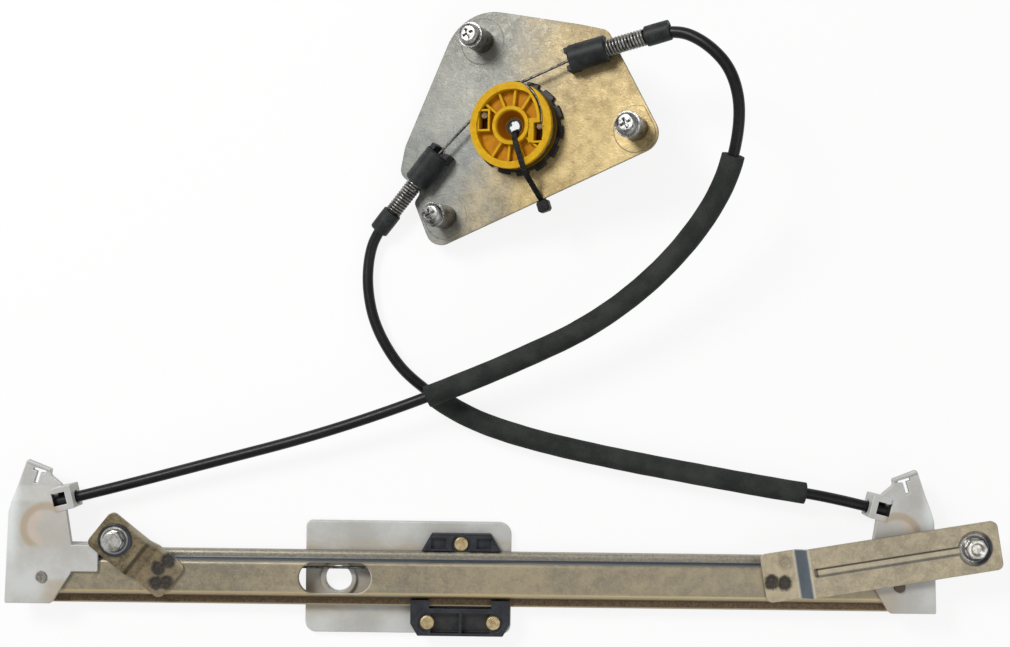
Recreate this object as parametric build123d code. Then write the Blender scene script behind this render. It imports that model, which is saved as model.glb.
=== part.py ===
from build123d import *
import math
import os

# Cable window regulator, laid on its back as it leaves the box.
# Frame: +X along the guide rail, +Y from the rail towards the drum plate, +Z up from the
# table it lies on.  Origin: centre of the object's footprint, at table height.  Millimetres.

# ---------------------------------------------------------------- clearances
RUN_GAP = 0.07  # radial, shaft turning or sliding in its bearing
SEAT_GAP = 0.15  # between pieces pushed together by hand
FREE_GAP = 0.3  # between bodies that move past each other
EDGE_SOFT = 0.4  # small moulded or rolled edge radius

# ---------------------------------------------------------------- guide rail
RAIL_Y = -141.3  # middle of the rail's width
RAIL_LEFT = -254.0
RAIL_LENGTH = 476.6
RAIL_WIDTH = 29.8
RAIL_T = 1.2
FLANGE_Z = 9.0  # underside of both flanges
WEB_RISE = 8.0  # web above the flanges
WEB_WIDTH = 18.6
UPPER_FLANGE = 4.6  # upper edge to the outside of the hat's wall
WALL_LEAN = 2.6  # how far the lower wall leans outwards
LIP_DROP = 4.6  # turned-down lip on the upper edge
BEND_R = 1.5
SLOT_X = -89.8
SLOT_LENGTH = 39.4
SLOT_WIDTH = 16.5
SLOT_Y = RAIL_Y + 1.3

RAIL_RIGHT = RAIL_LEFT + RAIL_LENGTH
RAIL_TOP_Y = RAIL_Y + RAIL_WIDTH / 2
RAIL_BOTTOM_Y = RAIL_Y - RAIL_WIDTH / 2
WALL_TOP_Y = RAIL_TOP_Y - UPPER_FLANGE  # outside of the upper wall
WEB_Z = FLANGE_Z + WEB_RISE + RAIL_T  # top face of the web
WEB_LOW_Y = WALL_TOP_Y - WEB_WIDTH  # outside of the lower wall, at the web

# ---------------------------------------------------------------- wire and cable guides
WIRE_R = 0.75
WIRE_Y = RAIL_Y + 6.1
WIRE_Z = 12.0
WIRE_GROOVE = 2.8
ARC_R = 16.5  # turn of the wire inside each guide
CONDUIT_ANGLE = 14.0  # rise of each conduit where it leaves its guide
SEAT_ALONG = 11.5  # from the arc's end to the middle of the conduit seat
GUIDE_INSET = 6.8  # from the rail's end to where the arc meets the rail's straight run
GUIDE_H = 22.0
GUIDE_EAR_H = 19.0
GUIDE_EDGE = 0.7
GUIDE_ROOF = 3.0  # wall left over the hollows in the guide's back
CORE_ROUND = 11.0  # hollow inside the wire's turn, parted by a rib
CORE_RIB = 1.6
TONGUE_LENGTH = 28.4
TONGUE_UNDER = 8.0  # the tongue's side reaches down to this height
SLANT_Y = 41.0  # above this the guide is the thinner ear
CAP_R = 3.8
CAP_LENGTH = 11.0
CAP_WALL = 1.2
WINDOW = (8.0, 7.2)
BLOCK_HALF = 7.4
PIN_X = -1.8
PIN_Y = 0.6
PIN_R = 2.5
PIN_HEAD_R = 2.9

ARC_Y = WIRE_Y + ARC_R
LEFT_GUIDE_X = RAIL_LEFT + GUIDE_INSET
RIGHT_GUIDE_X = RAIL_RIGHT - GUIDE_INSET
AXIS_DIR = Vector(math.cos(math.radians(CONDUIT_ANGLE)), math.sin(math.radians(CONDUIT_ANGLE)), 0)
AXIS_SIDE = Vector(-AXIS_DIR.Y, AXIS_DIR.X, 0)

# ---------------------------------------------------------------- conduits
CONDUIT_R = 3.0
LINER_R = 1.2  # hole for the wire in each end cap
SLEEVE_R = 6.0
SLEEVE_GAP = 0.1

# ---------------------------------------------------------------- glass carrier
CARRIER_LEFT = -107.6
CARRIER_RIGHT = 6.4
CARRIER_TOP = 30.6  # above the rail's middle
CARRIER_BOTTOM = -31.2
CARRIER_Z = 1.0
CARRIER_T = 3.5
CARRIER_HOLE_X = -89.2
CARRIER_HOLE_Y = -1.1
CARRIER_HOLE_R = 7.4
COLLAR_WALL = 2.4
COLLAR_H = 2.0
SHOE_X = -21.4  # middle of both shoes
UPPER_SHOE_TOP = 24.7
UPPER_SHOE_HALF = (22.0, 16.4)  # half length at the rail and at the top
UPPER_SHOE_H = 9.0
LOWER_SHOE_HALF = 27.4
LOWER_SHOE_BOTTOM = -30.8
LOWER_SHOE_H = 13.0
ARM_WIDTH = 10.2
RIVET_R = 3.9
RIVET_PITCH = 36.4  # between the two rivets of the lower shoe
ANCHOR_X = -52.0  # moulded block that holds both wire ends
ANCHOR_LENGTH = 26.0
ANCHOR_H = 15.5
ANCHOR_LOW = 5.2  # the block's lower side, below the wire
NIPPLE_R = 1.9
NIPPLE_LENGTH = 5.0
NIPPLE_FROM_END = 3.5

CARRIER_TOP_Z = CARRIER_Z + CARRIER_T
UPPER_RIVET_Y = RAIL_TOP_Y + RIVET_R + FREE_GAP + 0.1
LOWER_RIVET_Y = RAIL_Y - 23.6

# ---------------------------------------------------------------- brackets
SHEET_T = 2.0
BOLT_R = 3.0
BOLT_HOLE_R = BOLT_R + 2 * SEAT_GAP
SHANK_R = BOLT_R - 0.2  # plain shank above the free thread
DISH_DRIVE = (3.6, 1.1)  # radius and depth of the dished top of a bolt's head
WELD_R = 2.9
WELD_DEPTH = 0.4
SHORT_WELDS = ((27.4, 1.6), (31.2, -5.4), (35.2, -1.6), (28.8, 8.0))  # along and across the bracket
LONG_WELDS = ((-110.0, -2.0), (-103.6, -3.8), (-101.4, 7.2))
HEX_AF = 10.0
HEX_H = 4.2
WASHER_R = 9.0
WASHER_T = 1.6
NUT_H = 5.0
SHORT_BOLT = (RAIL_LEFT + 45.9, RAIL_Y + 21.7)
SHORT_ANGLE = -38.4
SHORT_WIDTH = 22.8
SHORT_PAD_Z = 22.6
SHORT_ENDS = (-11.4, 38.6)
SHORT_BEND = (15.2, 20.4)
SHORT_BOLT_END = 6.5
LONG_BOLT = (RAIL_RIGHT + 34.0, RAIL_Y + 22.9)
LONG_ANGLE = 9.6
LONG_WIDTH = 26.6
LONG_PAD_Z = 24.2
LONG_ENDS = (-114.6, 13.6)
LONG_BEND = (-95.4, -90.6)
LONG_BOLT_END = 4.0
BEAD_WIDTH = 5.0
BEAD_DEPTH = 1.5
BEAD_START = -88.0
DISH_R = 9.0
DISH_DEPTH = 1.8

# ---------------------------------------------------------------- drum plate
DRUM_X = 7.8
DRUM_Y = 104.9
DRUM_Z = 27.4  # drum axis where it passes the plate's top face
TILT = 20.5  # the plate leans, its right side up
PLATE_T = 2.0
PLATE_CORNERS = (
    (-33.1, 68.1, 28),
    (34.2, 53.9, 40),
    (48.6, 50.1, 5),
    (80.4, -9.9, 10),
    (-50.2, -64.9, 9),
    (-61.5, -38.5, 3),
    (-57.5, -32.5, 3),
    (-70.5, -22.5, 6),
    (-67.5, -7.6, 14),
)
PLATE_HOLE_R = 17.0
STANDOFFS = ((-21.9, 48.3), (65.0, -2.6), (-42.4, -46.8))
BOSS_R = 12.6  # pressed pad round each stand-off
BOSS_H = 0.4
BOSS_MARGIN = 1.2
STANDOFF_R = 6.4
STANDOFF_H = 17.4
SCREW_HEAD_R = 5.8
SCREW_HEAD_H = 3.6
SCREW_UNDER = 10.0  # thread left below the plate

# ---------------------------------------------------------------- drum and its bearing
RING_OPENING_R = 14.0
RING_R = 25.2
RING_T = 2.6
RING_TEETH = 14
TOOTH_H = 2.0
SPIGOT_R = 16.6
CLIP_R = 17.8
DRUM_R = 22.9
DRUM_BASE = RING_T + FREE_GAP
DRUM_TOP = 14.5
FLANGE_T = 1.4
TOP_FLANGE_T = 2.6
WIND_R = 20.9  # middle of the wound wire
WINDINGS = 4
WIND_PITCH = 1.75
RIM_WIDTH = 3.7
FLOOR_DEPTH = 5.2
HUB_R = 10.2
HUB_WALL = 1.7
RIBS_EACH = 4  # ribs on each half of the face, between the two pockets
RIB_FIRST = 56.0
RIB_STEP = 28.4
RIB_T = 1.3
RIB_DROP = 2.2
LEAD_WIDTH = 1.7  # channel that brings the upper wire from the rim in to its pocket
LEAD_WALL = 1.5
LEAD_FLOOR = 11.2
LEAD_ARC = ((5.6, 23.4), (14.2, 14.0), (17.0, -1.0))
CORE_R = WIND_R - WIRE_R + 0.3  # bottom of the wire's grooves
INSERT_R = 8.0
INSERT_NECK_R = 4.5
INSERT_STEP = 6.0
INSERT_TOP = 8.7
THROUGH_R = 2.75
SPLINES = 10
SPLINE_ROOT_R = 5.4
SPLINE_TIP_R = 6.4
POCKET = (5.0, 9.6)
POCKETS = ((-15.6, 3.4), (15.3, -3.8))
POCKET_WALL = 1.1
POCKET_FLOOR = 6.0
DRUM_NIPPLES = ((-15.6, 6.2), (15.9, -0.9))
DRUM_NIPPLE_R = 1.8

# ---------------------------------------------------------------- sockets, springs, ferrules
SOCKET_R = 7.0
CABLE_H = 7.2  # wire above the plate
# inner end of each socket on the plate, and the way its axis points, in degrees
CABLE_SEATS = {"upper": (30.6, 34.6, 12.5), "lower": (-44.0, -12.6, 229.4)}
SOCKET_LENGTH = 20.6
SPRING_LENGTH = 17.4
SPRING_COILS = 10
SPRING_WIRE = 1.3
SPRING_R = 4.55
FERRULE_R = 5.35
FERRULE_LENGTH = 13.4
GUIDE_TUBE_R = 2.7
TENSION_TRAVEL = 4.0  # how far each ferrule can be pressed towards its socket
MOUTH_R = 4.2
MOUTH_DEPTH = 5.0
FOOT_WIDTH = 8.0
PEG_R = 2.4

# ---------------------------------------------------------------- transport tie
TIE_ANGLE = -71.2
TIE_WIDTH = 3.0
TIE_T = 1.1
TIE_HEAD = 6.6
TIE_EDGE = 40.5  # the plate's edge from the drum axis, along the tie

# Routes of the two conduits, from the plate to the guides; the first and last points are
# worked out where they are used, from the ferrule and the guide that hold the ends.
UPPER_ROUTE = (
    (101.8, 143.6, 71.0),
    (115.4, 128.2, 73.0),
    (120.2, 104.0, 69.5),
    (113.4, 68.8, 57.0),
    (86.9, 31.0, 43.0),
    (49.0, -0.4, 33.0),
    (4.3, -21.6, 27.0),
    (-19.6, -31.9, 24.5),
    (-59.0, -47.7, 21.0),
    (-104.6, -63.3, 17.0),
    (-155.7, -77.3, 14.0),
)
LOWER_ROUTE = (
    (-74.9, 35.7, 4.2),
    (-75.4, 18.1, 4.8),
    (-71.0, -1.6, 5.8),
    (-60.1, -20.7, 6.6),
    (-48.3, -32.9, 7.2),
    (-21.2, -51.6, 8.0),
    (13.4, -63.2, 9.0),
    (59.0, -73.1, 10.0),
    (107.0, -81.6, 10.8),
    (151.6, -89.1, 11.5),
)
CONDUIT_START = (5.0, 19.0)  # start inside the ferrule, and first corner, from the ferrule's face
UPPER_SLEEVE = (3, 7)  # first and last route point inside the sleeve, which ends mid-run
LOWER_SLEEVE = (5, 9)


# ================================================================ small helpers
def save(name, shape):
    export_step(shape, f"parts/{name}.step")


def group(shapes):
    return Compound(children=list(shapes))


def prism(face, z0, z1):
    return Pos(0, 0, z0) * extrude(face, z1 - z0)


def disc(radius, z0, z1, x=0.0, y=0.0):
    return Pos(x, y, (z0 + z1) / 2) * Cylinder(radius, z1 - z0)


def slab(x0, x1, y0, y1, z0, z1):
    return Pos((x0 + x1) / 2, (y0 + y1) / 2, (z0 + z1) / 2) * Box(x1 - x0, y1 - y0, z1 - z0)


def outline(points):
    return make_face(Polyline(*points, close=True))


def trapezoid(y0, y1, half0, half1):
    """A face half0 wide each side at y0 and half1 at y1."""
    return outline([(-half0, y0), (half0, y0), (half1, y1), (-half1, y1)])


def rounded_outline(corners):
    """A face whose corners (x, y, radius) are rounded one by one."""
    face = outline([(x, y) for x, y, _ in corners])
    for x, y, radius in corners:
        vertex = face.vertices().sort_by_distance((x, y, 0))[0]
        face = fillet(vertex, radius)
    return face


def hexagon(af, z0, z1, x=0.0, y=0.0):
    head = prism(RegularPolygon(af / math.sqrt(3), 6), z0, z1)
    crown = Pos(0, 0, z0) * Cone(af * 0.5 + (z1 - z0) * 1.6, af * 0.5 - 0.15, z1 - z0, align=ALONG)
    return Pos(x, y, 0) * (head & crown)


ALONG = (Align.CENTER, Align.CENTER, Align.MIN)
PLATE = Location((DRUM_X, DRUM_Y, DRUM_Z), (0, -TILT, 0))


def on_plate(point):
    """A point given on the plate, in the frame of the whole object."""
    place = PLATE * Pos(*point)
    return place.position


# ================================================================ rail
def rail_path():
    """Middle of the sheet, from the upper lip round the hat to the lower flange."""
    half = RAIL_T / 2
    flange = FLANGE_Z + half
    web = WEB_Z - half
    return [
        (RAIL_TOP_Y - half, FLANGE_Z + RAIL_T - LIP_DROP),
        (RAIL_TOP_Y - half, flange),
        (WALL_TOP_Y - half, flange),
        (WALL_TOP_Y - half, web),
        (WEB_LOW_Y + half, web),
        (WEB_LOW_Y + half - WALL_LEAN, flange),
        (RAIL_BOTTOM_Y, flange),
    ]


def rail_section(thickness):
    """The rail's section in the YZ plane, with the given sheet thickness."""
    line = FilletPolyline(*rail_path(), radius=BEND_R)
    return Plane.YZ * trace(line, thickness)


def rail_slot(length, width, z0, z1):
    """Round-ended slot through the web, where the glass bolt is reached."""
    return Pos(SLOT_X, SLOT_Y, 0) * prism(SlotOverall(length, width), z0, z1)


def rail():
    body = Pos(RAIL_LEFT, 0, 0) * extrude(rail_section(RAIL_T), RAIL_RIGHT - RAIL_LEFT, dir=(1, 0, 0))
    body -= rail_slot(SLOT_LENGTH, SLOT_WIDTH, FLANGE_Z + BEND_R + RAIL_T, WEB_Z + 1)
    for guide_x, side in ((LEFT_GUIDE_X, 1), (RIGHT_GUIDE_X, -1)):
        body -= disc(PIN_R + SEAT_GAP, 0, WEB_Z + 1, guide_x + side * PIN_X, RAIL_Y + PIN_Y)
    return body


# ================================================================ cable guides
def wire_turn():
    """The wire inside the left guide: from the conduit seat round the arc to the rail's run."""
    end = Vector(0, ARC_Y, 0) + AXIS_SIDE * ARC_R
    start = end + AXIS_DIR * (SEAT_ALONG - CAP_LENGTH / 2 + CAP_WALL)
    turn = CenterArc((0, ARC_Y), ARC_R, 90 + CONDUIT_ANGLE, 180 - CONDUIT_ANGLE)
    return start, end, turn


def guide_outline():
    """Plan of the main body: rail cap below, ear for the wire's turn above."""
    corners = (
        (-21.9, -13.9, 1.0),
        (3.3, -13.9, 1.0),
        (14.2, 3.5, 2.0),
        (13.5, 18.2, 1.0),
        (10.5, 36.8, 1.5),
        (1.7, 55.9, 0.8),
        (2.5, 58.7, 0.8),
        (-10.9, 64.0, 1.0),
        (-18.4, 42.0, 6.0),
        (-20.2, 36.0, 6.0),
    )
    return Pos(0, RAIL_Y) * rounded_outline(corners)


def guide_frame(along, side=0.0):
    """A place on the conduit's axis in the guide, X pointing along the conduit."""
    end = Vector(0, ARC_Y, 0) + AXIS_SIDE * ARC_R
    at = end + AXIS_DIR * (SEAT_ALONG + along) + AXIS_SIDE * side
    return Location((at.X, at.Y, 0), (0, 0, CONDUIT_ANGLE))


def seat_block():
    """Square block round the end of the conduit."""
    return guide_frame(1.2) * slab(-7.0, 6.0, -BLOCK_HALF, BLOCK_HALF, 0, GUIDE_H)


def ear_slot():
    """T-shaped catch slot through the ear."""
    bar = slab(-3.5, 3.5, -0.9, 0.9, -1, GUIDE_H + 1)
    stem = slab(-1.1, 1.1, -7.4, 0.0, -1, GUIDE_H + 1)
    return Location((-4.1, RAIL_Y + 58.3, 0), (0, 0, -17)) * (bar + stem)


def tongue():
    """Tongue that lies on the web and folds over the rail's upper edge."""
    top = RAIL_TOP_Y + 3.1
    plate = slab(8, TONGUE_LENGTH, RAIL_Y + 3.7, top, WEB_Z + SEAT_GAP, GUIDE_H)
    side = slab(8, TONGUE_LENGTH, RAIL_TOP_Y + SEAT_GAP, top, TONGUE_UNDER, GUIDE_H)
    shape = plate + side
    edges = shape.edges().filter_by(Axis.Z).group_by(Axis.X)[-1]
    return fillet(edges, 0.8)


def rail_pocket():
    """Room for the end of the rail, open towards the rail."""
    pocket = extrude(rail_section(RAIL_T + 2 * SEAT_GAP), 60, dir=(1, 0, 0))
    return Pos(RAIL_LEFT - LEFT_GUIDE_X - SEAT_GAP, 0, 0) * pocket


def guide_cores():
    """Hollows in the back that keep the moulding's walls even: inside the turn and in the ear."""
    turn = disc(CORE_ROUND, -1, GUIDE_H - GUIDE_ROOF, 0, ARC_Y)
    turn -= slab(-30, 30, ARC_Y - CORE_RIB / 2, ARC_Y + CORE_RIB / 2, -2, GUIDE_H)
    turn &= prism(offset(guide_outline(), -GUIDE_ROOF), -1, GUIDE_H)
    ear = [(-13.6, 43.4), (5.0, 43.4), (3.0, 48.6), (-12.0, 48.6)]
    ear = outline([(x, RAIL_Y + y) for x, y in ear])
    return turn + prism(ear, -1, GUIDE_EAR_H - GUIDE_ROOF)


def guide_local():
    body = prism(guide_outline(), 0, GUIDE_H)
    top_rim = body.faces().sort_by(Axis.Z)[-1].edges()
    body = chamfer(top_rim, GUIDE_EDGE)
    body -= slab(-30, 30, RAIL_Y + SLANT_Y, RAIL_Y + 80, GUIDE_EAR_H, GUIDE_H + 1)
    body += chamfer(seat_block().edges().filter_by(Axis.Z), 0.6) + tongue()
    rim = Location((-4.2, RAIL_Y + 61.35, 0), (0, 0, -21.6)) * slab(-6.6, 6.9, -1.0, 0.3, 0, GUIDE_H)
    body += rim
    body -= rail_pocket()
    start, end, turn = wire_turn()
    groove = trace(Line(start, end) + turn + Line((0, WIRE_Y), (40, WIRE_Y)), WIRE_GROOVE)
    body -= prism(groove, -1, WIRE_Z + WIRE_GROOVE / 2)
    bore = Rot(0, 90, 0) * Cylinder(CAP_R + SEAT_GAP, 40, align=ALONG)
    body -= guide_frame(-CAP_LENGTH / 2) * Pos(0, 0, WIRE_Z) * bore
    long, wide = WINDOW
    window = slab(-long / 2, long / 2, -wide / 2, wide / 2, WIRE_Z, GUIDE_H + 1)
    body -= guide_frame(-1.5) * window
    body -= ear_slot()
    body -= disc(PIN_R + SEAT_GAP, -1, GUIDE_H + 1, PIN_X, RAIL_Y + PIN_Y)
    body -= disc(PIN_HEAD_R + SEAT_GAP, GUIDE_H - 1.6, GUIDE_H + 1, PIN_X, RAIL_Y + PIN_Y)
    body -= guide_cores()
    return body


def guide_pin_local():
    shank = disc(PIN_R, 1.0, GUIDE_H - 1.0, PIN_X, RAIL_Y + PIN_Y)
    head = disc(PIN_HEAD_R, GUIDE_H - 1.6, GUIDE_H - 0.4, PIN_X, RAIL_Y + PIN_Y)
    return shank + head


def end_cap_local():
    """Black cap crimped on the conduit, seated in the guide's block."""
    body = Cylinder(CAP_R, CAP_LENGTH, align=ALONG) - Pos(0, 0, CAP_WALL) * Cylinder(
        CONDUIT_R + SEAT_GAP, CAP_LENGTH, align=ALONG
    )
    body -= Cylinder(LINER_R, CAP_LENGTH, align=ALONG)
    return guide_frame(-CAP_LENGTH / 2) * Pos(0, 0, WIRE_Z) * Rot(0, 90, 0) * body


def both_guides(shape):
    """The left piece and its mirror image at the right end of the rail."""
    left = Pos(LEFT_GUIDE_X, 0, 0) * shape
    right = Pos(RIGHT_GUIDE_X, 0, 0) * mirror(shape, Plane.YZ)
    return left, right


def conduit_end(side):
    """Where a conduit stops inside its guide, and a point out along its axis."""
    inside = guide_frame(-CAP_LENGTH / 2 + CAP_WALL + SEAT_GAP).position
    outside = guide_frame(26.0).position
    guide_x = LEFT_GUIDE_X if side > 0 else RIGHT_GUIDE_X
    return [(guide_x + side * p.X, p.Y, WIRE_Z) for p in (inside, outside)]


def rail_wire():
    """One wire from conduit seat to conduit seat, tight along the rail."""
    start, end, turn = wire_turn()
    left = Pos(LEFT_GUIDE_X, 0, WIRE_Z) * (Line(start, end) + turn)
    right = Pos(RIGHT_GUIDE_X, 0, WIRE_Z) * mirror(Line(start, end) + turn, Plane.YZ)
    run = Line((LEFT_GUIDE_X, WIRE_Y, WIRE_Z), (RIGHT_GUIDE_X, WIRE_Y, WIRE_Z))
    path = Wire(left.edges() + run.edges() + right.edges())
    section = Plane(origin=path @ 0, z_dir=path % 0) * Circle(WIRE_R)
    return sweep(section, path=path)


# ================================================================ glass carrier
def shoe_place(x=0.0, y=0.0):
    return Pos(SHOE_X + x, RAIL_Y + y, 0)


def rivet_spots():
    """The upper shoe's rivet, then the two of the lower shoe."""
    half = RIVET_PITCH / 2
    return [(SHOE_X, UPPER_RIVET_Y), (SHOE_X - half, LOWER_RIVET_Y), (SHOE_X + half, LOWER_RIVET_Y)]


def rivet_holes(radius, z0=-1.0, z1=30.0):
    return [disc(radius, z0, z1, x, y) for x, y in rivet_spots()]


def nipple_place(end):
    x = ANCHOR_X + end * (ANCHOR_LENGTH / 2 - NIPPLE_FROM_END)
    return Location((x, WIRE_Y, WIRE_Z), (0, 90, 0))


def anchor_block():
    """Moulded block under the web that holds both wire ends."""
    x0 = ANCHOR_X - ANCHOR_LENGTH / 2
    x1 = ANCHOR_X + ANCHOR_LENGTH / 2
    y1 = WALL_TOP_Y - RAIL_T - FREE_GAP
    block = slab(x0, x1, WIRE_Y - ANCHOR_LOW, y1, CARRIER_Z + 1, ANCHOR_H)
    block = fillet(block.edges().filter_by(Axis.Z), 1.0)
    gap = WIRE_R + SEAT_GAP + 0.25
    block -= slab(x0 - 1, x1 + 1, WIRE_Y - gap, WIRE_Y + gap, WIRE_Z - gap, 30)
    seat_r = NIPPLE_R + SEAT_GAP
    for end in (-1, 1):
        seat = Cylinder(seat_r, NIPPLE_LENGTH + 2 * SEAT_GAP)
        above = Pos(-8, 0, 0) * Box(16, 2 * seat_r, NIPPLE_LENGTH + 2 * SEAT_GAP)
        block -= nipple_place(end) * (seat + above)
    return block


def glass_carrier():
    face = rounded_outline(
        (
            (CARRIER_LEFT, RAIL_Y + CARRIER_TOP, 3),
            (CARRIER_RIGHT, RAIL_Y + CARRIER_TOP, 7),
            (CARRIER_RIGHT, RAIL_Y + CARRIER_BOTTOM, 5),
            (CARRIER_LEFT, RAIL_Y + CARRIER_BOTTOM, 6),
        )
    )
    plate = prism(face, CARRIER_Z, CARRIER_TOP_Z)
    plate = chamfer(plate.faces().sort_by(Axis.Z)[-1].edges(), EDGE_SOFT)
    spot = (CARRIER_HOLE_X, RAIL_Y + CARRIER_HOLE_Y)
    collar = disc(CARRIER_HOLE_R + COLLAR_WALL, CARRIER_Z, CARRIER_TOP_Z + COLLAR_H, *spot)
    body = plate + collar + anchor_block()
    body -= disc(CARRIER_HOLE_R, -5, 20, *spot)
    for hole in rivet_holes(RIVET_R + RUN_GAP):
        body -= hole
    return body


def upper_slide_shoe():
    """Shoe that straddles the turned-down lip of the rail's upper edge."""
    base, top = UPPER_SHOE_HALF
    low = WALL_TOP_Y - RAIL_Y + 0.6
    slope = (base - top) / (UPPER_SHOE_TOP - (RAIL_TOP_Y - RAIL_Y))
    wide = base + slope * (RAIL_TOP_Y - RAIL_Y - low)
    body = prism(trapezoid(low, UPPER_SHOE_TOP, wide, top), CARRIER_TOP_Z, UPPER_SHOE_H)
    body = fillet(body.edges().filter_by(Axis.Z), 0.8)
    outer = RAIL_TOP_Y - RAIL_Y
    raised = trapezoid(outer + 0.6, UPPER_SHOE_TOP - 1, base - 0.6, top - 0.8)
    body += prism(raised, UPPER_SHOE_H - 1, UPPER_SHOE_H + 1.6)
    lip_z = FLANGE_Z + RAIL_T - LIP_DROP
    lip = slab(-60, 60, outer - RAIL_T - FREE_GAP, outer + FREE_GAP, lip_z - FREE_GAP, 30)
    under = slab(-60, 60, -30, outer - RAIL_T, FLANGE_Z - FREE_GAP, 30)
    body -= lip
    body -= under
    for side in (-1, 1):
        body -= Pos(side * 12.5, outer + 4.0, 0) * slab(-4.2, 4.2, -2.2, 3.6, UPPER_SHOE_H - 1.2, 30)
    body = shoe_place() * body
    body -= rivet_holes(RIVET_R + 1.6, UPPER_SHOE_H - 0.4)[0]
    body -= rivet_holes(RIVET_R + RUN_GAP)[0]
    return body


def lower_slide_shoe():
    """Shoe with two arms that close over the rail's lower flange."""
    half = LOWER_SHOE_HALF
    edge = RAIL_BOTTOM_Y - RAIL_Y
    wall = WEB_LOW_Y - WALL_LEAN - RAIL_Y - FREE_GAP
    bottom = LOWER_SHOE_BOTTOM
    corner = (4.0, 6.7)
    face = outline(
        [
            (-half, wall),
            (half, wall),
            (half, bottom + corner[1]),
            (half - corner[0], bottom),
            (corner[0] - half, bottom),
            (-half, bottom + corner[1]),
        ]
    )
    body = prism(face, CARRIER_TOP_Z, LOWER_SHOE_H)
    body = fillet(body.edges().filter_by(Axis.Z), 0.8)
    flange = slab(-60, 60, edge - FREE_GAP, 20, FLANGE_Z - FREE_GAP, FLANGE_Z + RAIL_T + FREE_GAP)
    body -= flange
    between = half - ARM_WIDTH
    body -= slab(-between, between, edge - FREE_GAP - 0.6, 20, FLANGE_Z, 30)
    body -= slab(-between - 0.4, between + 0.4, edge - 14.4, edge - 3.4, LOWER_SHOE_H - 4.5, 30)
    for x in (0.0, -between + 0.2, between - 0.2):
        body += slab(x - 0.7, x + 0.7, edge - 14.6, edge - 3.2, LOWER_SHOE_H - 5, LOWER_SHOE_H - 0.6)
    body = shoe_place() * body
    for hole in rivet_holes(RIVET_R + RUN_GAP)[1:] + rivet_holes(RIVET_R + 1.5, LOWER_SHOE_H - 1.2)[1:]:
        body -= hole
    return body


def rivet(index, height):
    """Brass rivet with a rounded end, flush with the back of the carrier."""
    x, y = rivet_spots()[index]
    pin = disc(RIVET_R, CARRIER_Z, height, x, y)
    return fillet(pin.edges().sort_by(Axis.Z)[-1], 0.7)


def cable_nipple(end):
    barrel = Cylinder(NIPPLE_R, NIPPLE_LENGTH) - Cylinder(WIRE_R + FREE_GAP, NIPPLE_LENGTH + 1)
    return nipple_place(end) * barrel


# ================================================================ brackets and bolts
def stepped_strip(ends, bend, width, pad_z, foot_first, radius):
    """Bent strip seen from the side, cut to its rounded plan."""
    foot_z = WEB_Z + SHEET_T / 2
    pad = pad_z + SHEET_T / 2
    if foot_first:
        path = [(ends[0], foot_z), (bend[0], foot_z), (bend[1], pad), (ends[1], pad)]
    else:
        path = [(ends[0], pad), (bend[0], pad), (bend[1], foot_z), (ends[1], foot_z)]
    line = FilletPolyline(*path, radius=2.2)
    strip = extrude(Plane.XZ * trace(line, SHEET_T), width / 2, dir=(0, 1, 0), both=True)
    corners = strip.edges().filter_by(Axis.Z)
    return fillet(corners, radius)


def weld_dimples(spots):
    """Shallow round marks of the spot welds, in the foot that lies on the rail."""
    top = WEB_Z + SHEET_T
    dimple = Cone(WELD_R - 0.5, WELD_R, WELD_DEPTH + 0.2, align=ALONG)
    return [Pos(x, y, top - WELD_DEPTH) * dimple for x, y in spots]


def short_bracket():
    body = stepped_strip(SHORT_ENDS, SHORT_BEND, SHORT_WIDTH, SHORT_PAD_Z, False, 3.5)
    body -= disc(BOLT_HOLE_R, 0, 60)
    for dimple in weld_dimples(SHORT_WELDS):
        body -= dimple
    return Location((*SHORT_BOLT, 0), (0, 0, SHORT_ANGLE)) * body


def dish(radius, depth, z):
    """Round pressed recess: its skin hangs below the sheet."""
    outer = Cone(radius - depth * 0.4, radius + SHEET_T * 0.8, depth + SHEET_T, align=ALONG)
    inner = Cone(radius - depth * 0.8, radius + 0.6, depth, align=ALONG)
    return Pos(0, 0, z - depth) * outer, Pos(0, 0, z - depth + SHEET_T) * inner


def bead(z):
    """Pressed groove along the arm, running into the dish."""
    half = BEAD_WIDTH / 2
    top = z + SHEET_T
    skin = trapezoid(z - BEAD_DEPTH, top, half + 0.2, half + 1.2)
    hollow = trapezoid(top - BEAD_DEPTH, top + 0.01, half - 1.3, half)
    made = []
    for section, start in ((skin, BEAD_START), (hollow, BEAD_START + 1.0)):
        made.append(Pos(start, 0, 0) * extrude(Plane.YZ * section, -start - 1.0, dir=(1, 0, 0)))
    return made


def long_bracket():
    body = stepped_strip(LONG_ENDS, LONG_BEND, LONG_WIDTH, LONG_PAD_Z, True, 3.5)
    skin, hollow = dish(DISH_R, DISH_DEPTH, LONG_PAD_Z)
    bead_skin, bead_hollow = bead(LONG_PAD_Z)
    body = body + skin + bead_skin - hollow - bead_hollow
    body -= disc(BOLT_HOLE_R, 0, 60)
    for dimple in weld_dimples(LONG_WELDS):
        body -= dimple
    return Location((*LONG_BOLT, 0), (0, 0, LONG_ANGLE)) * body


def free_thread(z0, z1, top):
    """A bolt's thread from z0 to z1, and its plain shank from there up to the head."""
    thread = disc(BOLT_R, z0, z1)
    thread = chamfer(thread.edges().sort_by(Axis.Z)[0], 0.6)
    return thread + disc(SHANK_R, z1 - 0.2, top)


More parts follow.
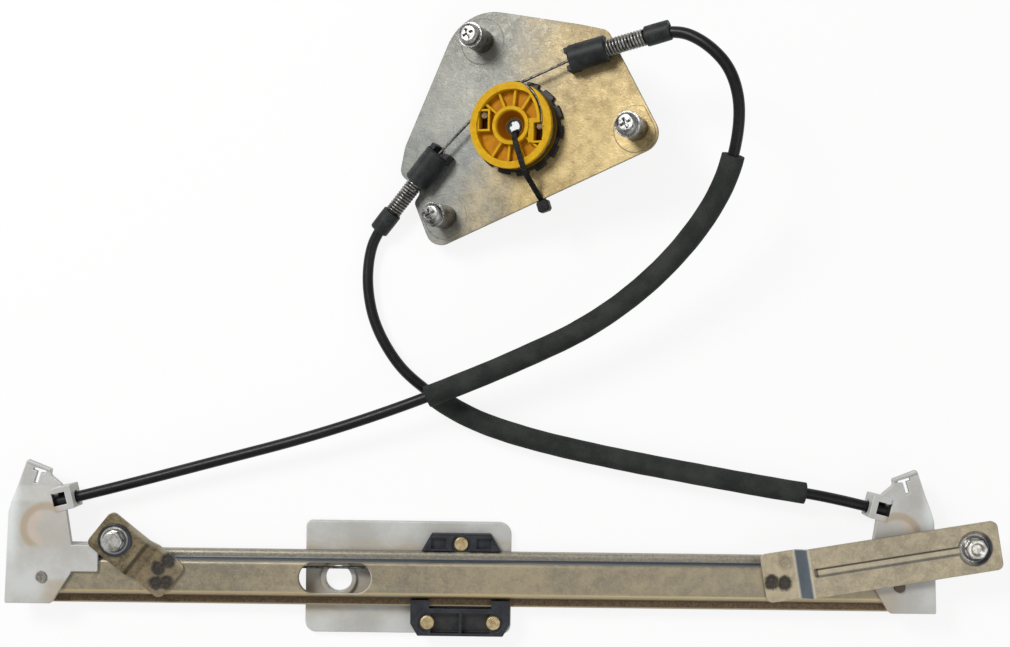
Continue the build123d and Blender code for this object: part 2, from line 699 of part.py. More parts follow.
def bracket_bolt(place, seat_z, end_z, flange_r, nut_z, dished):
    """Hexagon bolt, head up, thread free below its weld nut for the door panel."""
    top = seat_z + 1.2 + HEX_H
    head = hexagon(HEX_AF, seat_z + 1.2, top)
    if dished:
        radius, depth = DISH_DRIVE
        head -= Pos(0, 0, top - depth) * Cone(radius - depth, radius, depth, align=ALONG)
    collar = Pos(0, 0, seat_z) * Cone(flange_r, HEX_AF / 2 + 0.6, 1.2, align=ALONG)
    return Pos(*place, 0) * (head + collar + free_thread(end_z, nut_z, seat_z + 1.2))


def weld_nut(place, top_z):
    nut = hexagon(HEX_AF, top_z - NUT_H, top_z) - disc(BOLT_R + 0.05, 0, 60)
    return Pos(*place, 0) * nut


def washer():
    z = SHORT_PAD_Z + SHEET_T
    ring = disc(WASHER_R, z, z + WASHER_T) - disc(BOLT_HOLE_R, 0, 60)
    ring = chamfer(ring.edges().group_by(Axis.Z)[-1].sort_by(SortBy.RADIUS)[-1], 0.5)
    return Pos(*SHORT_BOLT, 0) * ring


# ================================================================ drum plate
def drum_plate():
    plan = rounded_outline(PLATE_CORNERS)
    body = prism(plan, -PLATE_T, 0)
    inside = prism(offset(plan, -BOSS_MARGIN), -PLATE_T, BOSS_H)
    for x, y in STANDOFFS:
        boss = Pos(x, y, -0.1) * Cone(BOSS_R, BOSS_R - 0.4, BOSS_H + 0.1, align=ALONG)
        body += boss & inside
    body -= disc(PLATE_HOLE_R, -9, 9)
    for x, y in STANDOFFS:
        body -= disc(BOLT_HOLE_R, -9, 9, x, y)
    for name in CABLE_SEATS:
        body -= cable_place(name, SOCKET_LENGTH * 0.55, -CABLE_H) * Cylinder(PEG_R + SEAT_GAP, 12)
    return PLATE * body


def plate_standoffs():
    made = []
    for x, y in STANDOFFS:
        tube = disc(STANDOFF_R, BOSS_H, STANDOFF_H) - disc(BOLT_HOLE_R, -1, 40)
        tube = chamfer(tube.edges().filter_by(GeomType.CIRCLE).sort_by(SortBy.RADIUS)[-2:], 0.8)
        made.append(PLATE * Pos(x, y, 0) * tube)
    return group(made)


def plate_screws():
    """Pan-head cross-recessed screws with a captive washer."""
    made = []
    for x, y in STANDOFFS:
        top = STANDOFF_H + 1.2
        washer_ring = disc(STANDOFF_R + 0.4, STANDOFF_H, top)
        head = disc(SCREW_HEAD_R, top, top + SCREW_HEAD_H)
        head = fillet(head.edges().sort_by(Axis.Z)[-1], 2.2)
        screw = washer_ring + head + free_thread(-PLATE_T - SCREW_UNDER, -PLATE_T, STANDOFF_H + 0.5)
        for turn in (25, 115):
            recess = Rot(0, 0, turn) * slab(-2.9, 2.9, -0.65, 0.65, top + SCREW_HEAD_H - 1.9, top + 9)
            screw -= recess
        made.append(PLATE * Pos(x, y, 0) * screw)
    return group(made)


def drum_bearing_ring():
    """Black ring clipped in the plate; hooked teeth round its edge."""
    body = disc(RING_R, 0, RING_T) + disc(SPIGOT_R, -PLATE_T - 1.6, 0.5)
    for i in range(RING_TEETH):
        start = 360 / RING_TEETH * i
        hook = outline(
            [
                (RING_R - 1.5, 0),
                polar(RING_R + TOOTH_H, 3),
                polar(RING_R + TOOTH_H, 9),
                polar(RING_R - 0.2, 19),
                polar(RING_R - 1.5, 19),
            ]
        )
        body += Rot(0, 0, start) * prism(hook, 0, RING_T - 0.4)
    for i in range(3):
        clip = disc(CLIP_R, -PLATE_T - 1.6, -PLATE_T - 0.1) & slab(0, 30, -4, 4, -20, 20)
        body += Rot(0, 0, 120 * i + 60) * clip
    body -= disc(RING_OPENING_R, -9, 9)
    return PLATE * body


def polar(radius, degrees):
    return (radius * math.cos(math.radians(degrees)), radius * math.sin(math.radians(degrees)))


def winding_heights():
    first = DRUM_BASE + FLANGE_T + WIRE_R + 0.5
    return [first + i * WIND_PITCH for i in range(WINDINGS)]


def drum_blank():
    """Flanged spool with one round-bottomed groove for each turn of wire."""
    spool = disc(DRUM_R - 0.5, DRUM_BASE, DRUM_BASE + FLANGE_T)
    spool += disc(CORE_R, DRUM_BASE, DRUM_TOP)
    spool += disc(DRUM_R, DRUM_TOP - TOP_FLANGE_T, DRUM_TOP)
    skirt = disc(RING_OPENING_R - RUN_GAP, -PLATE_T, DRUM_BASE + 0.5)
    spool += skirt
    return spool


def drum_face(spool):
    """Recessed face with its hub cone and radial ribs."""
    rim_in = DRUM_R - RIM_WIDTH
    well = disc(rim_in, DRUM_TOP - FLOOR_DEPTH, DRUM_TOP + 1) - disc(HUB_R, 0, DRUM_TOP + 1)
    spool -= well
    floor = DRUM_TOP - FLOOR_DEPTH
    rib = slab(HUB_R - 0.5, rim_in + 0.5, -RIB_T / 2, RIB_T / 2, floor - 0.5, DRUM_TOP - RIB_DROP)
    for i in range(RIBS_EACH):
        for half in (0, 180):
            spool += Rot(0, 0, RIB_FIRST + RIB_STEP * i + half) * rib
    cone = Pos(0, 0, INSERT_TOP - 0.4) * Cone(
        INSERT_NECK_R + 0.3, HUB_R - HUB_WALL, DRUM_TOP - INSERT_TOP + 0.5, align=ALONG
    )
    return spool - cone


def nipple_pocket(spot, wall, z0, z1, reach):
    """Block for one wire end, cut round where the wound wire lies."""
    x, y = spot
    dx = POCKET[0] / 2 + wall
    dy = POCKET[1] / 2 + wall
    return slab(x - dx, x + dx, y - dy, y + dy, z0, z1) & disc(reach, z0 - 1, z1 + 1)


def cable_drum():
    body = drum_face(drum_blank())
    reach = DRUM_R - RIM_WIDTH + 0.5
    low = DRUM_TOP - FLOOR_DEPTH - 0.6
    for spot in POCKETS:
        body += nipple_pocket(spot, POCKET_WALL, low, DRUM_TOP - 1.0, CORE_R)
    web = slab(HUB_R - 0.5, POCKETS[1][0], -9.4, 3.4, low, DRUM_TOP - 1.0)
    lead = ThreePointArc(*LEAD_ARC)
    wall = prism(trace(lead, LEAD_WIDTH + 2 * LEAD_WALL), low, DRUM_TOP - 0.3)
    body += (web + wall) & disc(reach, 0, DRUM_TOP)
    for spot in POCKETS:
        body -= nipple_pocket(spot, 0, POCKET_FLOOR, DRUM_TOP + 1, CORE_R - 0.8)
    body -= prism(trace(lead, LEAD_WIDTH), LEAD_FLOOR, DRUM_TOP + 1)
    body -= disc(INSERT_R + 0.05, -9, INSERT_STEP + 0.05)
    body -= disc(INSERT_NECK_R + 0.05, -9, DRUM_TOP)
    body -= disc(RING_OPENING_R - 2.0, -9, 1.0)
    return PLATE * body


def drum_drive_insert():
    """Drive bush: splined socket for the motor's shaft, seen from the back."""
    body = disc(INSERT_R, -PLATE_T, INSERT_STEP) + disc(INSERT_NECK_R, 0, INSERT_TOP)
    socket = disc(SPLINE_ROOT_R, -9, INSERT_STEP - 1.2)
    for i in range(SPLINES):
        tooth = slab(0, SPLINE_TIP_R, -0.85, 0.85, -9, INSERT_STEP - 1.2)
        socket += Rot(0, 0, 360 / SPLINES * i) * tooth
    body -= socket
    body -= disc(THROUGH_R, -9, 30)
    return PLATE * body


def drum_winding():
    """Outer shape of the wire wound side by side on the drum."""
    inner = CORE_R
    heights = winding_heights()
    ring = None
    for z in heights:
        lobe = Plane.XZ * Pos(WIND_R + 0.15, z) * Rectangle(2 * WIRE_R, 2 * WIRE_R)
        lobe = chamfer(lobe.vertices().group_by(Axis.X)[-1], 0.45)
        ring = lobe if ring is None else ring + lobe
    low = heights[0] - WIRE_R
    high = heights[-1] + WIRE_R
    web = Plane.XZ * Pos((inner + WIND_R) / 2, (low + high) / 2) * Rectangle(WIND_R - inner, high - low)
    profile = (ring + web) & (Plane.XZ * Pos(inner + 2, (low + high) / 2) * Rectangle(4, high - low + 1))
    return PLATE * revolve(profile, Axis.Z)


def drum_cable_nipples():
    low = POCKET_FLOOR + 0.2
    return group(PLATE * disc(DRUM_NIPPLE_R, low, low + 6.0, x, y) for x, y in DRUM_NIPPLES)


# ================================================================ cable ends on the plate
def cable_place(name, along=0.0, up=0.0):
    """A place on a socket's axis, Z up from the plate, X outwards along the cable."""
    x, y, turn = CABLE_SEATS[name]
    return Location((x, y, CABLE_H + up), (0, 0, turn)) * Pos(along, 0, 0)


def along_cable(name, along, shape):
    """A turned piece, made along +Z, laid on a cable's axis."""
    return PLATE * cable_place(name, along) * Rot(0, 90, 0) * shape


def cable_socket(name):
    """Black housing clipped to the plate: spring seat outside, flared mouth inside."""
    body = Cylinder(SOCKET_R, SOCKET_LENGTH, align=ALONG)
    body = chamfer(body.edges().filter_by(GeomType.CIRCLE), 0.7)
    body -= Cylinder(GUIDE_TUBE_R + SEAT_GAP, SOCKET_LENGTH, align=ALONG)
    body -= Cone(MOUTH_R, GUIDE_TUBE_R, MOUTH_DEPTH, align=ALONG)
    body -= Pos(0, 0, SOCKET_LENGTH - 1.6) * Cylinder(SPRING_R + 0.2, 3, align=ALONG)
    body = cable_place(name) * Rot(0, 90, 0) * body
    foot = slab(3, SOCKET_LENGTH - 2, -FOOT_WIDTH / 2, FOOT_WIDTH / 2, -CABLE_H, -GUIDE_TUBE_R - 1)
    ears = slab(-2.4, 3, -6.2, -3.4, -CABLE_H, 1.5) + slab(-2.4, 3, 3.4, 6.2, -CABLE_H, 1.5)
    peg = Pos(SOCKET_LENGTH * 0.55, 0, -CABLE_H - PLATE_T - 0.6) * Cylinder(PEG_R, 2 * PLATE_T + 3.0)
    body += cable_place(name) * (foot + ears + peg)
    body &= slab(-200, 200, -200, 200, -PLATE_T - 1.8, 40)
    return PLATE * body


def tension_spring(name):
    """Compression spring between socket and ferrule, as its coils' outer shape."""
    start = SOCKET_LENGTH - 1.6
    length = SPRING_LENGTH + 1.6
    pitch = length / SPRING_COILS
    inner = SPRING_R - SPRING_WIRE
    points = [(inner, 0)]
    for i in range(SPRING_COILS):
        low = pitch * i
        points += [(SPRING_R, low + pitch * 0.25), (SPRING_R, low + pitch * 0.6)]
        points += [(SPRING_R - 0.45, low + pitch)]
    points += [(inner, length)]
    profile = Plane.XZ * outline(points)
    return along_cable(name, start, revolve(profile, Axis.Z))


def conduit_ferrule(name):
    """Cap on the conduit's end, with the tube that slides inside the spring and socket."""
    start = SOCKET_LENGTH + SPRING_LENGTH
    cap = Cylinder(FERRULE_R, FERRULE_LENGTH, align=ALONG)
    cap = chamfer(cap.edges().filter_by(GeomType.CIRCLE), 0.6)
    cap -= Pos(0, 0, 3.0) * Cylinder(CONDUIT_R + FREE_GAP, FERRULE_LENGTH, align=ALONG)
    reach = SPRING_LENGTH + SOCKET_LENGTH - MOUTH_DEPTH - TENSION_TRAVEL - 1.0
    tube = Pos(0, 0, -reach) * Cylinder(GUIDE_TUBE_R, reach + 2, align=ALONG)
    body = cap + tube - Pos(0, 0, -reach - 1) * Cylinder(WIRE_R + 0.45, reach + 9, align=ALONG)
    return along_cable(name, start, body)


def drum_wire(name):
    """Straight wire from the socket's mouth to where it closes on the drum."""
    x, y, _ = CABLE_SEATS[name]
    distance = math.hypot(x, y)
    bearing = math.degrees(math.atan2(y, x))
    swing = math.degrees(math.acos(WIND_R / distance))
    touch_angle = bearing + (swing if name == "upper" else -swing)
    touch = Vector(*polar(WIND_R, touch_angle), 0)
    mouth = Vector(x, y, 0)
    way = (touch - mouth).normalized()
    reach = (touch - mouth).length - math.sqrt((WIND_R + 2 * WIRE_R + FREE_GAP + 0.3) ** 2 - WIND_R**2)
    start = mouth - way * -0.4
    plane = Plane(origin=(start.X, start.Y, CABLE_H), z_dir=way)
    return PLATE * extrude(plane * Circle(WIRE_R), reach)


# ================================================================ conduits and sleeves
def corner_radii(points):
    """Largest arcs the two runs at each corner allow."""
    radii = []
    for a, b, c in zip(points, points[1:], points[2:]):
        first, second = Vector(b) - Vector(a), Vector(c) - Vector(b)
        half_turn = math.radians(first.get_angle(second)) / 2
        radii.append(0.45 * min(first.length, second.length) / math.tan(half_turn))
    return radii


def tube(points, radii, outer, inner):
    path = FilletPolyline(*points, radius=radii)
    section = Circle(outer) - Circle(inner) if inner else Circle(outer)
    plane = Plane(origin=path @ 0, z_dir=path % 0)
    solid = sweep(plane * section, path=path)
    expected = math.pi * (outer**2 - inner**2) * path.length
    print(f"  tube length {path.length:.1f} volume/expected {solid.volume / expected:.4f}")
    return solid


def conduit_route(name):
    """All the points of a conduit, ferrule first."""
    base = SOCKET_LENGTH + SPRING_LENGTH
    ends = [tuple(on_plate(tuple(cable_place(name, base + d).position))) for d in CONDUIT_START]
    middle = UPPER_ROUTE if name == "upper" else LOWER_ROUTE
    side = 1 if name == "upper" else -1
    inside, outside = conduit_end(side)
    return ends + list(middle) + [outside, inside]


def midpoint(a, b):
    return tuple((p + q) / 2 for p, q in zip(a, b))


def conduit_and_sleeve(name, span):
    points = conduit_route(name)
    radii = corner_radii(points)
    print(name, "radii", [round(r) for r in radii])
    print(name, "runs", [round((Vector(b) - Vector(a)).length) for a, b in zip(points, points[1:])])
    conduit = tube(points, radii, CONDUIT_R, 0)
    first, last = span
    first, last = first + 2, last + 2
    inner_points = [midpoint(points[first - 1], points[first])] + points[first : last + 1]
    inner_points.append(midpoint(points[last], points[last + 1]))
    sleeve = tube(inner_points, radii[first - 1 : last], SLEEVE_R, CONDUIT_R + SLEEVE_GAP)
    return conduit, sleeve


# ================================================================ transport tie
def transport_tie():
    """Strap that holds the drum on the plate until the motor is fitted."""
    half = TIE_T / 2
    low = -PLATE_T - 3.4
    outer = TIE_EDGE + FREE_GAP + half
    loop = [
        (0, low),
        (0, DRUM_TOP + 1.2),
        (DRUM_R + 1.6, DRUM_TOP + 1.2),
        (outer, 1.8),
        (outer, low),
    ]
    line = FilletPolyline(*loop, radius=1.4, close=True)
    strap = extrude(Plane.XZ * trace(line, TIE_T), TIE_WIDTH / 2, dir=(0, 1, 0), both=True)
    head = slab(outer - 0.2, outer + TIE_HEAD - 0.2, -TIE_HEAD / 2, TIE_HEAD / 2, -3.4, 1.6)
    head = chamfer(head.edges().filter_by(Axis.Z), 0.8)
    stub = slab(outer + 1, outer + TIE_HEAD + 0.6, -TIE_WIDTH / 2, TIE_WIDTH / 2, -0.4, 0.6)
    return PLATE * Rot(0, 0, TIE_ANGLE) * (strap + head + stub)


# ================================================================ build
def build_all():
    parts = {"rail": rail()}
    parts["left_cable_guide"], parts["right_cable_guide"] = both_guides(guide_local())
    parts["left_guide_pin"], parts["right_guide_pin"] = both_guides(guide_pin_local())
    parts["left_conduit_cap"], parts["right_conduit_cap"] = both_guides(end_cap_local())
    parts["rail_wire"] = rail_wire()
    parts["glass_carrier"] = glass_carrier()
    parts["upper_slide_shoe"] = upper_slide_shoe()
    parts["lower_slide_shoe"] = lower_slide_shoe()
    parts["upper_shoe_rivet"] = rivet(0, UPPER_SHOE_H + 0.6)
    parts["lower_shoe_rivets"] = group(rivet(i, LOWER_SHOE_H - 0.2) for i in (1, 2))
    parts["left_cable_nipple"] = cable_nipple(-1)
    parts["right_cable_nipple"] = cable_nipple(1)
    parts["short_bracket"] = short_bracket()
    parts["long_bracket"] = long_bracket()
    short_seat = SHORT_PAD_Z + SHEET_T + WASHER_T
    long_seat = LONG_PAD_Z + SHEET_T - DISH_DEPTH
    long_nut = LONG_PAD_Z - DISH_DEPTH
    parts["short_bracket_bolt"] = bracket_bolt(
        SHORT_BOLT, short_seat, SHORT_BOLT_END, 6.4, SHORT_PAD_Z - NUT_H, False
    )
    parts["long_bracket_bolt"] = bracket_bolt(
        LONG_BOLT, long_seat, LONG_BOLT_END, 7.0, long_nut - NUT_H, True
    )
    parts["short_bracket_washer"] = washer()
    parts["short_bracket_nut"] = weld_nut(SHORT_BOLT, SHORT_PAD_Z)
    parts["long_bracket_nut"] = weld_nut(LONG_BOLT, long_nut)
    parts["drum_plate"] = drum_plate()
    parts["plate_standoffs"] = plate_standoffs()
    parts["plate_screws"] = plate_screws()
    parts["drum_bearing_ring"] = drum_bearing_ring()
    parts["cable_drum"] = cable_drum()
    parts["drum_drive_insert"] = drum_drive_insert()
    parts["drum_winding"] = drum_winding()
    parts["drum_cable_nipples"] = drum_cable_nipples()
    parts["transport_tie"] = transport_tie()
    for name, span in (("upper", UPPER_SLEEVE), ("lower", LOWER_SLEEVE)):
        parts[f"{name}_cable_socket"] = cable_socket(name)
        parts[f"{name}_tension_spring"] = tension_spring(name)
        parts[f"{name}_conduit_ferrule"] = conduit_ferrule(name)
        parts[f"{name}_drum_wire"] = drum_wire(name)
        parts[f"{name}_conduit"], parts[f"{name}_foam_sleeve"] = conduit_and_sleeve(name, span)
    return parts


def main():
    os.makedirs("parts", exist_ok=True)
    for name, shape in build_all().items():
        save(name, shape)
        box = shape.bounding_box()
        print(f"{name:24s} {len(shape.solids())} solid(s)  z {box.min.Z:7.2f} .. {box.max.Z:7.2f}")


main()
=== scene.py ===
import math

import bpy
import numpy as np
from mathutils import Matrix, Vector


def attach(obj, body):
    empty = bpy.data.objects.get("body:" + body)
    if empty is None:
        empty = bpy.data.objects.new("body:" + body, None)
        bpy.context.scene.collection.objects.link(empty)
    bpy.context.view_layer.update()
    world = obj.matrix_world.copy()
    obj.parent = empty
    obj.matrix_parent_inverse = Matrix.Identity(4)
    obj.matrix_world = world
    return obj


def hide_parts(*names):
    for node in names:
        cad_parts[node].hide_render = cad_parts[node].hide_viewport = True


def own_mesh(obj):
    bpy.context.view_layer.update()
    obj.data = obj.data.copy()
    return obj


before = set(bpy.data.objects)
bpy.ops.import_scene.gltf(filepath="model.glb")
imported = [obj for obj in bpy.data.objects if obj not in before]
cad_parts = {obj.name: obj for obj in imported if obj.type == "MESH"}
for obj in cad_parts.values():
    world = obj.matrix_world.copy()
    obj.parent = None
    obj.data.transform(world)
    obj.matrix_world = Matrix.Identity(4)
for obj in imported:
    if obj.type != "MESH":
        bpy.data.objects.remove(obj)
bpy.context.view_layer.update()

# ================================================================ view, lamps and table
# The regulator lies on its back on a white table, seen from straight above.
# Soft light from all round, with one broad lamp at the upper left that draws the edges.
VIEW_HEIGHT = 0.750
VIEW_X = 0.0013
VIEW_ROLL = math.radians(0.7)
VIEW_LENS = 47.83
SKY = 0.46
LAMPS = {
    "window": ((-0.70, 0.62, 1.05), 0.40, 12.0),
    "fill": ((0.80, -0.55, 1.20), 1.20, 4.5),
}
TABLE_HALF = 4.0
TABLE_PLAIN = 0.86  # share of the table that is plain white to the eye and in reflections
WHITE = (1.0, 1.0, 1.0, 1.0)

scene = bpy.context.scene
scene.view_settings.view_transform = "Standard"
camera = bpy.data.objects.new("camera", bpy.data.cameras.new("camera"))
camera.data.lens = VIEW_LENS
camera.location = (VIEW_X, 0.0, VIEW_HEIGHT)
camera.rotation_euler = (0.0, 0.0, VIEW_ROLL)
scene.collection.objects.link(camera)
scene.camera = camera

for name, (place, size, power) in LAMPS.items():
    lamp = bpy.data.objects.new(name, bpy.data.lights.new(name, "AREA"))
    lamp.data.size = size
    lamp.data.energy = power
    lamp.location = place
    lamp.rotation_euler = (-Vector(place)).to_track_quat("-Z", "Y").to_euler()
    scene.collection.objects.link(lamp)


class Shade:
    """A value on its way through a material; arithmetic on it adds Math nodes."""

    def __init__(self, finish, socket):
        self.finish = finish
        self.socket = socket

    def math(self, operation, *values):
        """A Math node on the values, in their order."""
        return self.finish.node("ShaderNodeMath", {"operation": operation}, dict(enumerate(values)))

    def __add__(self, other):
        return self.math("ADD", self, other)

    def __sub__(self, other):
        return self.math("SUBTRACT", self, other)

    def __rsub__(self, other):
        return self.math("SUBTRACT", other, self)

    def __mul__(self, other):
        return self.math("MULTIPLY", self, other)

    def __pow__(self, other):
        return self.math("POWER", self, other)

    def __abs__(self):
        return self.math("ABSOLUTE", self)

    __radd__ = __add__
    __rmul__ = __mul__

    def most(self, other):
        return self.math("MAXIMUM", self, other)

    def rise(self, low, high):
        """0 up to low, 1 from high, and a smooth step between; low may be the larger."""
        settings = {"interpolation_type": "SMOOTHSTEP"}
        return self.finish.node("ShaderNodeMapRange", settings, {0: self, 1: low, 2: high})

    def band(self, middle, half, soft):
        """1 within half of the middle, 0 past half + soft on either side."""
        return abs(self - middle).rise(half + soft, half)


class Finish:
    """One material: a Principled shader fed from the piece's own coordinates, in metres."""

    def __init__(self, name, **constants):
        self.material = bpy.data.materials.new(name)
        self.material.use_nodes = True
        self.tree = self.material.node_tree
        self.shader = self.tree.nodes["Principled BSDF"]
        self.at = self.node("ShaderNodeTexCoord", output="Object")
        self.colour = None
        for words, value in constants.items():
            self.feed(words.replace("_", " ").title().replace("Ior", "IOR"), value)

    def node(self, kind, settings=None, inputs=None, output=0):
        """Adds a node: its settings first, then a value or a link for each socket named."""
        made = self.tree.nodes.new(kind)
        for key, value in (settings or {}).items():
            setattr(made, key, value)
        for key, value in (inputs or {}).items():
            if isinstance(value, Shade):
                self.tree.links.new(value.socket, made.inputs[key])
            else:
                made.inputs[key].default_value = value
        return Shade(self, made.outputs[output])

    def feed(self, name, value):
        """Sets a socket of the shader to a number or colour, or links a chain of nodes to it."""
        socket = self.shader.inputs[name]
        if isinstance(value, Shade):
            self.tree.links.new(value.socket, socket)
        elif socket.type == "RGBA":
            socket.default_value = (*value, 1.0)
        else:
            socket.default_value = value

    def axes(self, vector=None):
        """The three coordinates of a vector apart."""
        first = self.node("ShaderNodeSeparateXYZ", None, {0: vector or self.at})
        return [Shade(self, output) for output in first.socket.node.outputs]

    def noise(self, size, detail=3.0, roughness=0.55, at=None):
        """Cloudy value about 0.5, its patches about size across."""
        inputs = {"Vector": at or self.at, "Scale": 0.5 / size, "Detail": detail, "Roughness": roughness}
        return self.node("ShaderNodeTexNoise", None, inputs)

    def turned(self, matrix, scale=(1.0, 1.0, 1.0)):
        """The coordinates in another frame: matrix takes that frame to the piece's."""
        back = matrix.inverted()
        inputs = {"Vector": self.at, "Location": back.translation, "Rotation": back.to_euler()}
        local = self.node("ShaderNodeMapping", None, inputs)
        if scale == (1.0, 1.0, 1.0):
            return local
        return self.node("ShaderNodeVectorMath", {"operation": "MULTIPLY"}, {0: local, 1: scale})

    def mix(self, factor, low, high):
        """Colour low where the factor is 0 and high where it is 1."""
        inputs = {0: factor}
        for socket, colour in ((6, low), (7, high)):
            inputs[socket] = colour if isinstance(colour, Shade) else (*colour, 1.0)
        return self.node("ShaderNodeMix", {"data_type": "RGBA"}, inputs, output=2)

    def cover(self, share, tone):
        """Lays a tone over the finish's colour so far, by a share from 0 to 1."""
        self.colour = self.mix(share, self.colour, tone)

    def surface(self, rough, height, depth, edge=None):
        """Roughness, and unevenness that stands up by the depth where the height is 1.

        edge: the edges' radius, the share of their tone, and the tone, which may be None. The tone is
        a painted highlight, laid where the rounded normal leaves the plain one: 1 - their dot
        product.
        """
        radius, share, tone = edge or (None, 0.0, None)
        inputs = {"Height": height, "Distance": depth}
        if radius:
            inputs["Normal"] = self.node("ShaderNodeBevel", {"samples": 6}, {"Radius": radius})
        if tone:
            plain = self.node("ShaderNodeNewGeometry", output="Normal")
            normals = {0: inputs["Normal"], 1: plain}
            settings = {"operation": "DOT_PRODUCT"}
            same = self.node("ShaderNodeVectorMath", settings, normals, output="Value")
            # painted highlight on the rounded edges
            self.cover((1.0 - same).rise(0.01, 0.16) * share, tone)
        self.feed("Roughness", rough)
        self.feed("Normal", self.node("ShaderNodeBump", None, inputs))

    def paint(self, *names):
        """Gives the finish, with its colour so far, to pieces by name."""
        if self.colour:
            self.feed("Base Color", self.colour)
        for name in names:
            piece = bpy.data.objects[name]
            piece.data.materials.clear()
            piece.data.materials.append(self.material)


room = bpy.data.worlds.new("room")
room.use_nodes = True
scene.world = room
links = room.node_tree.links
ray = room.node_tree.nodes.new("ShaderNodeLightPath")
sky = room.node_tree.nodes["Background"]
sky.inputs["Color"].default_value = WHITE
sky.inputs["Strength"].default_value = SKY
backdrop = room.node_tree.nodes.new("ShaderNodeBackground")
backdrop.inputs["Color"].default_value = WHITE
either = room.node_tree.nodes.new("ShaderNodeMixShader")
links.new(ray.outputs["Is Camera Ray"], either.inputs[0])
links.new(sky.outputs[0], either.inputs[1])
links.new(backdrop.outputs[0], either.inputs[2])
links.new(either.outputs[0], room.node_tree.nodes["World Output"].inputs[0])

table_mesh = bpy.data.meshes.new("table")
corners = [(-TABLE_HALF, -TABLE_HALF, 0), (TABLE_HALF, -TABLE_HALF, 0)]
corners += [(TABLE_HALF, TABLE_HALF, 0), (-TABLE_HALF, TABLE_HALF, 0)]
table_mesh.from_pydata(corners, [], [(0, 1, 2, 3)])
table = bpy.data.objects.new("table", table_mesh)
scene.collection.objects.link(table)
table_white = Finish("table_white", base_color=(0.86, 0.86, 0.85), roughness=0.9)
seen = table_white.node("ShaderNodeLightPath", output="Is Camera Ray")
mirrored = Shade(table_white, seen.socket.node.outputs["Is Glossy Ray"])
through = Shade(table_white, seen.socket.node.outputs["Is Transmission Ray"])
plain = table_white.node("ShaderNodeEmission", None, {"Color": WHITE})
lit = Shade(table_white, table_white.shader.outputs[0])
share = seen.most(mirrored).most(through) * TABLE_PLAIN
top = table_white.node("ShaderNodeMixShader", None, {0: share, 1: lit, 2: plain})
table_white.tree.links.new(top.socket, table_white.tree.nodes["Material Output"].inputs[0])
table_white.paint("table")

# ================================================================ guide rail
# Roll-formed from 1.2 mm galvanised strip: a flat crown between two flanges, the upper edge
# turned down as a lip for the shoe. The zinc is dull and mottled; painted shade browns the low folds.
RAIL_SPANGLE = 0.0022
CROWN_Z = 0.0172
UPPER_WALL_Y = -0.1314
UPPER_FLANGE_Y = (-0.1306, -0.1300)
LOWER_WALL_Y = -0.1497
LOWER_FLANGE_Z = (0.0112, 0.0104)
LOWER_LIP_Y = -0.1556
SLOT_CENTRE = (-0.0898, -0.1400)
SLOT_STRAIGHT = 0.01145
SLOT_RADIUS = 0.00825
ZINC_TONES = ((0.250, 0.222, 0.165), (0.400, 0.335, 0.220))
ROLLED_STREAK = (0.50, 0.46, 0.37)
GOLD_BEND_HIGHLIGHT = (0.60, 0.48, 0.26)
FOLD_SHADE_TONES = ((0.190, 0.135, 0.065), (0.275, 0.205, 0.105))
LOW_FLANGE_SHADE_TONES = ((0.090, 0.058, 0.030), (0.165, 0.112, 0.062))
LIP_HIGHLIGHT = (0.40, 0.34, 0.24)
BLUE_WALL_REFLECTION = (0.090, 0.110, 0.140)
TOP_FLANGE_LIT_TONES = ((0.250, 0.235, 0.195), (0.450, 0.415, 0.335))
SLOT_RIM_SHADE_AND_GLINT = ((0.085, 0.068, 0.045), (0.66, 0.62, 0.54))
ZINC_EDGE_HIGHLIGHT = (0.62, 0.60, 0.54)


def spangle(finish, size, at=None):
    """Zinc crystals: one random value for each frayed cell, the cells about size across."""
    at = at or finish.at
    fray = finish.node("ShaderNodeTexNoise", None, {"Vector": at, "Scale": 0.9 / size, "Detail": 3.0}, 1)
    settings = {"operation": "MULTIPLY_ADD"}
    moved = finish.node("ShaderNodeVectorMath", settings, {0: fray, 1: (1.6 * size,) * 3, 2: at})
    cells = finish.node("ShaderNodeTexVoronoi", None, {"Vector": moved, "Scale": 1.0 / size}, 1)
    return finish.axes(cells)[0]


def zinc(finish, size, cool, warm, at=None):
    """Mottled zinc colour: broad clouds pick between cool and warm, crystals shift each a little."""
    clouds = finish.noise(9 * size, 4.0, 0.62, at)
    flecks = spangle(finish, size, at)
    grain = finish.noise(0.28 * size, 2.0, 0.5, at)
    fine = finish.noise(0.12 * size, 2.0, 0.6, at)
    middling = finish.noise(1.5 * size, 3.0, 0.6, at)
    value = clouds * 0.8 + middling * 0.55 + flecks * 0.12 + grain * 0.36 + fine * 0.30
    return finish.mix(value.rise(0.80, 1.32), cool, warm), flecks, grain


rail_zinc = Finish("rail_zinc", metallic=0.55, specular_ior_level=0.5)
rail_zinc.colour, flecks, grain = zinc(rail_zinc, RAIL_SPANGLE, *ZINC_TONES)
x, y, z = rail_zinc.axes()
patchy = grain.rise(0.3, 0.7)
rolled = rail_zinc.noise(0.004, 3.0, 0.6, rail_zinc.turned(Matrix(), (0.04, 1.0, 1.0)))
rail_zinc.cover(rolled.rise(0.50, 0.72) * 0.35, ROLLED_STREAK)
crown_edge = z.rise(CROWN_Z - 0.0004, CROWN_Z + 0.0008)
low_side = y.rise(LOWER_WALL_Y + 0.0010, LOWER_WALL_Y + 0.0002)
# painted highlight on the crown's lower rounded bend
bend = y.band(LOWER_WALL_Y + 0.0012, 0.0004, 0.0008) * crown_edge
rail_zinc.cover(bend * 0.8, GOLD_BEND_HIGHLIGHT)
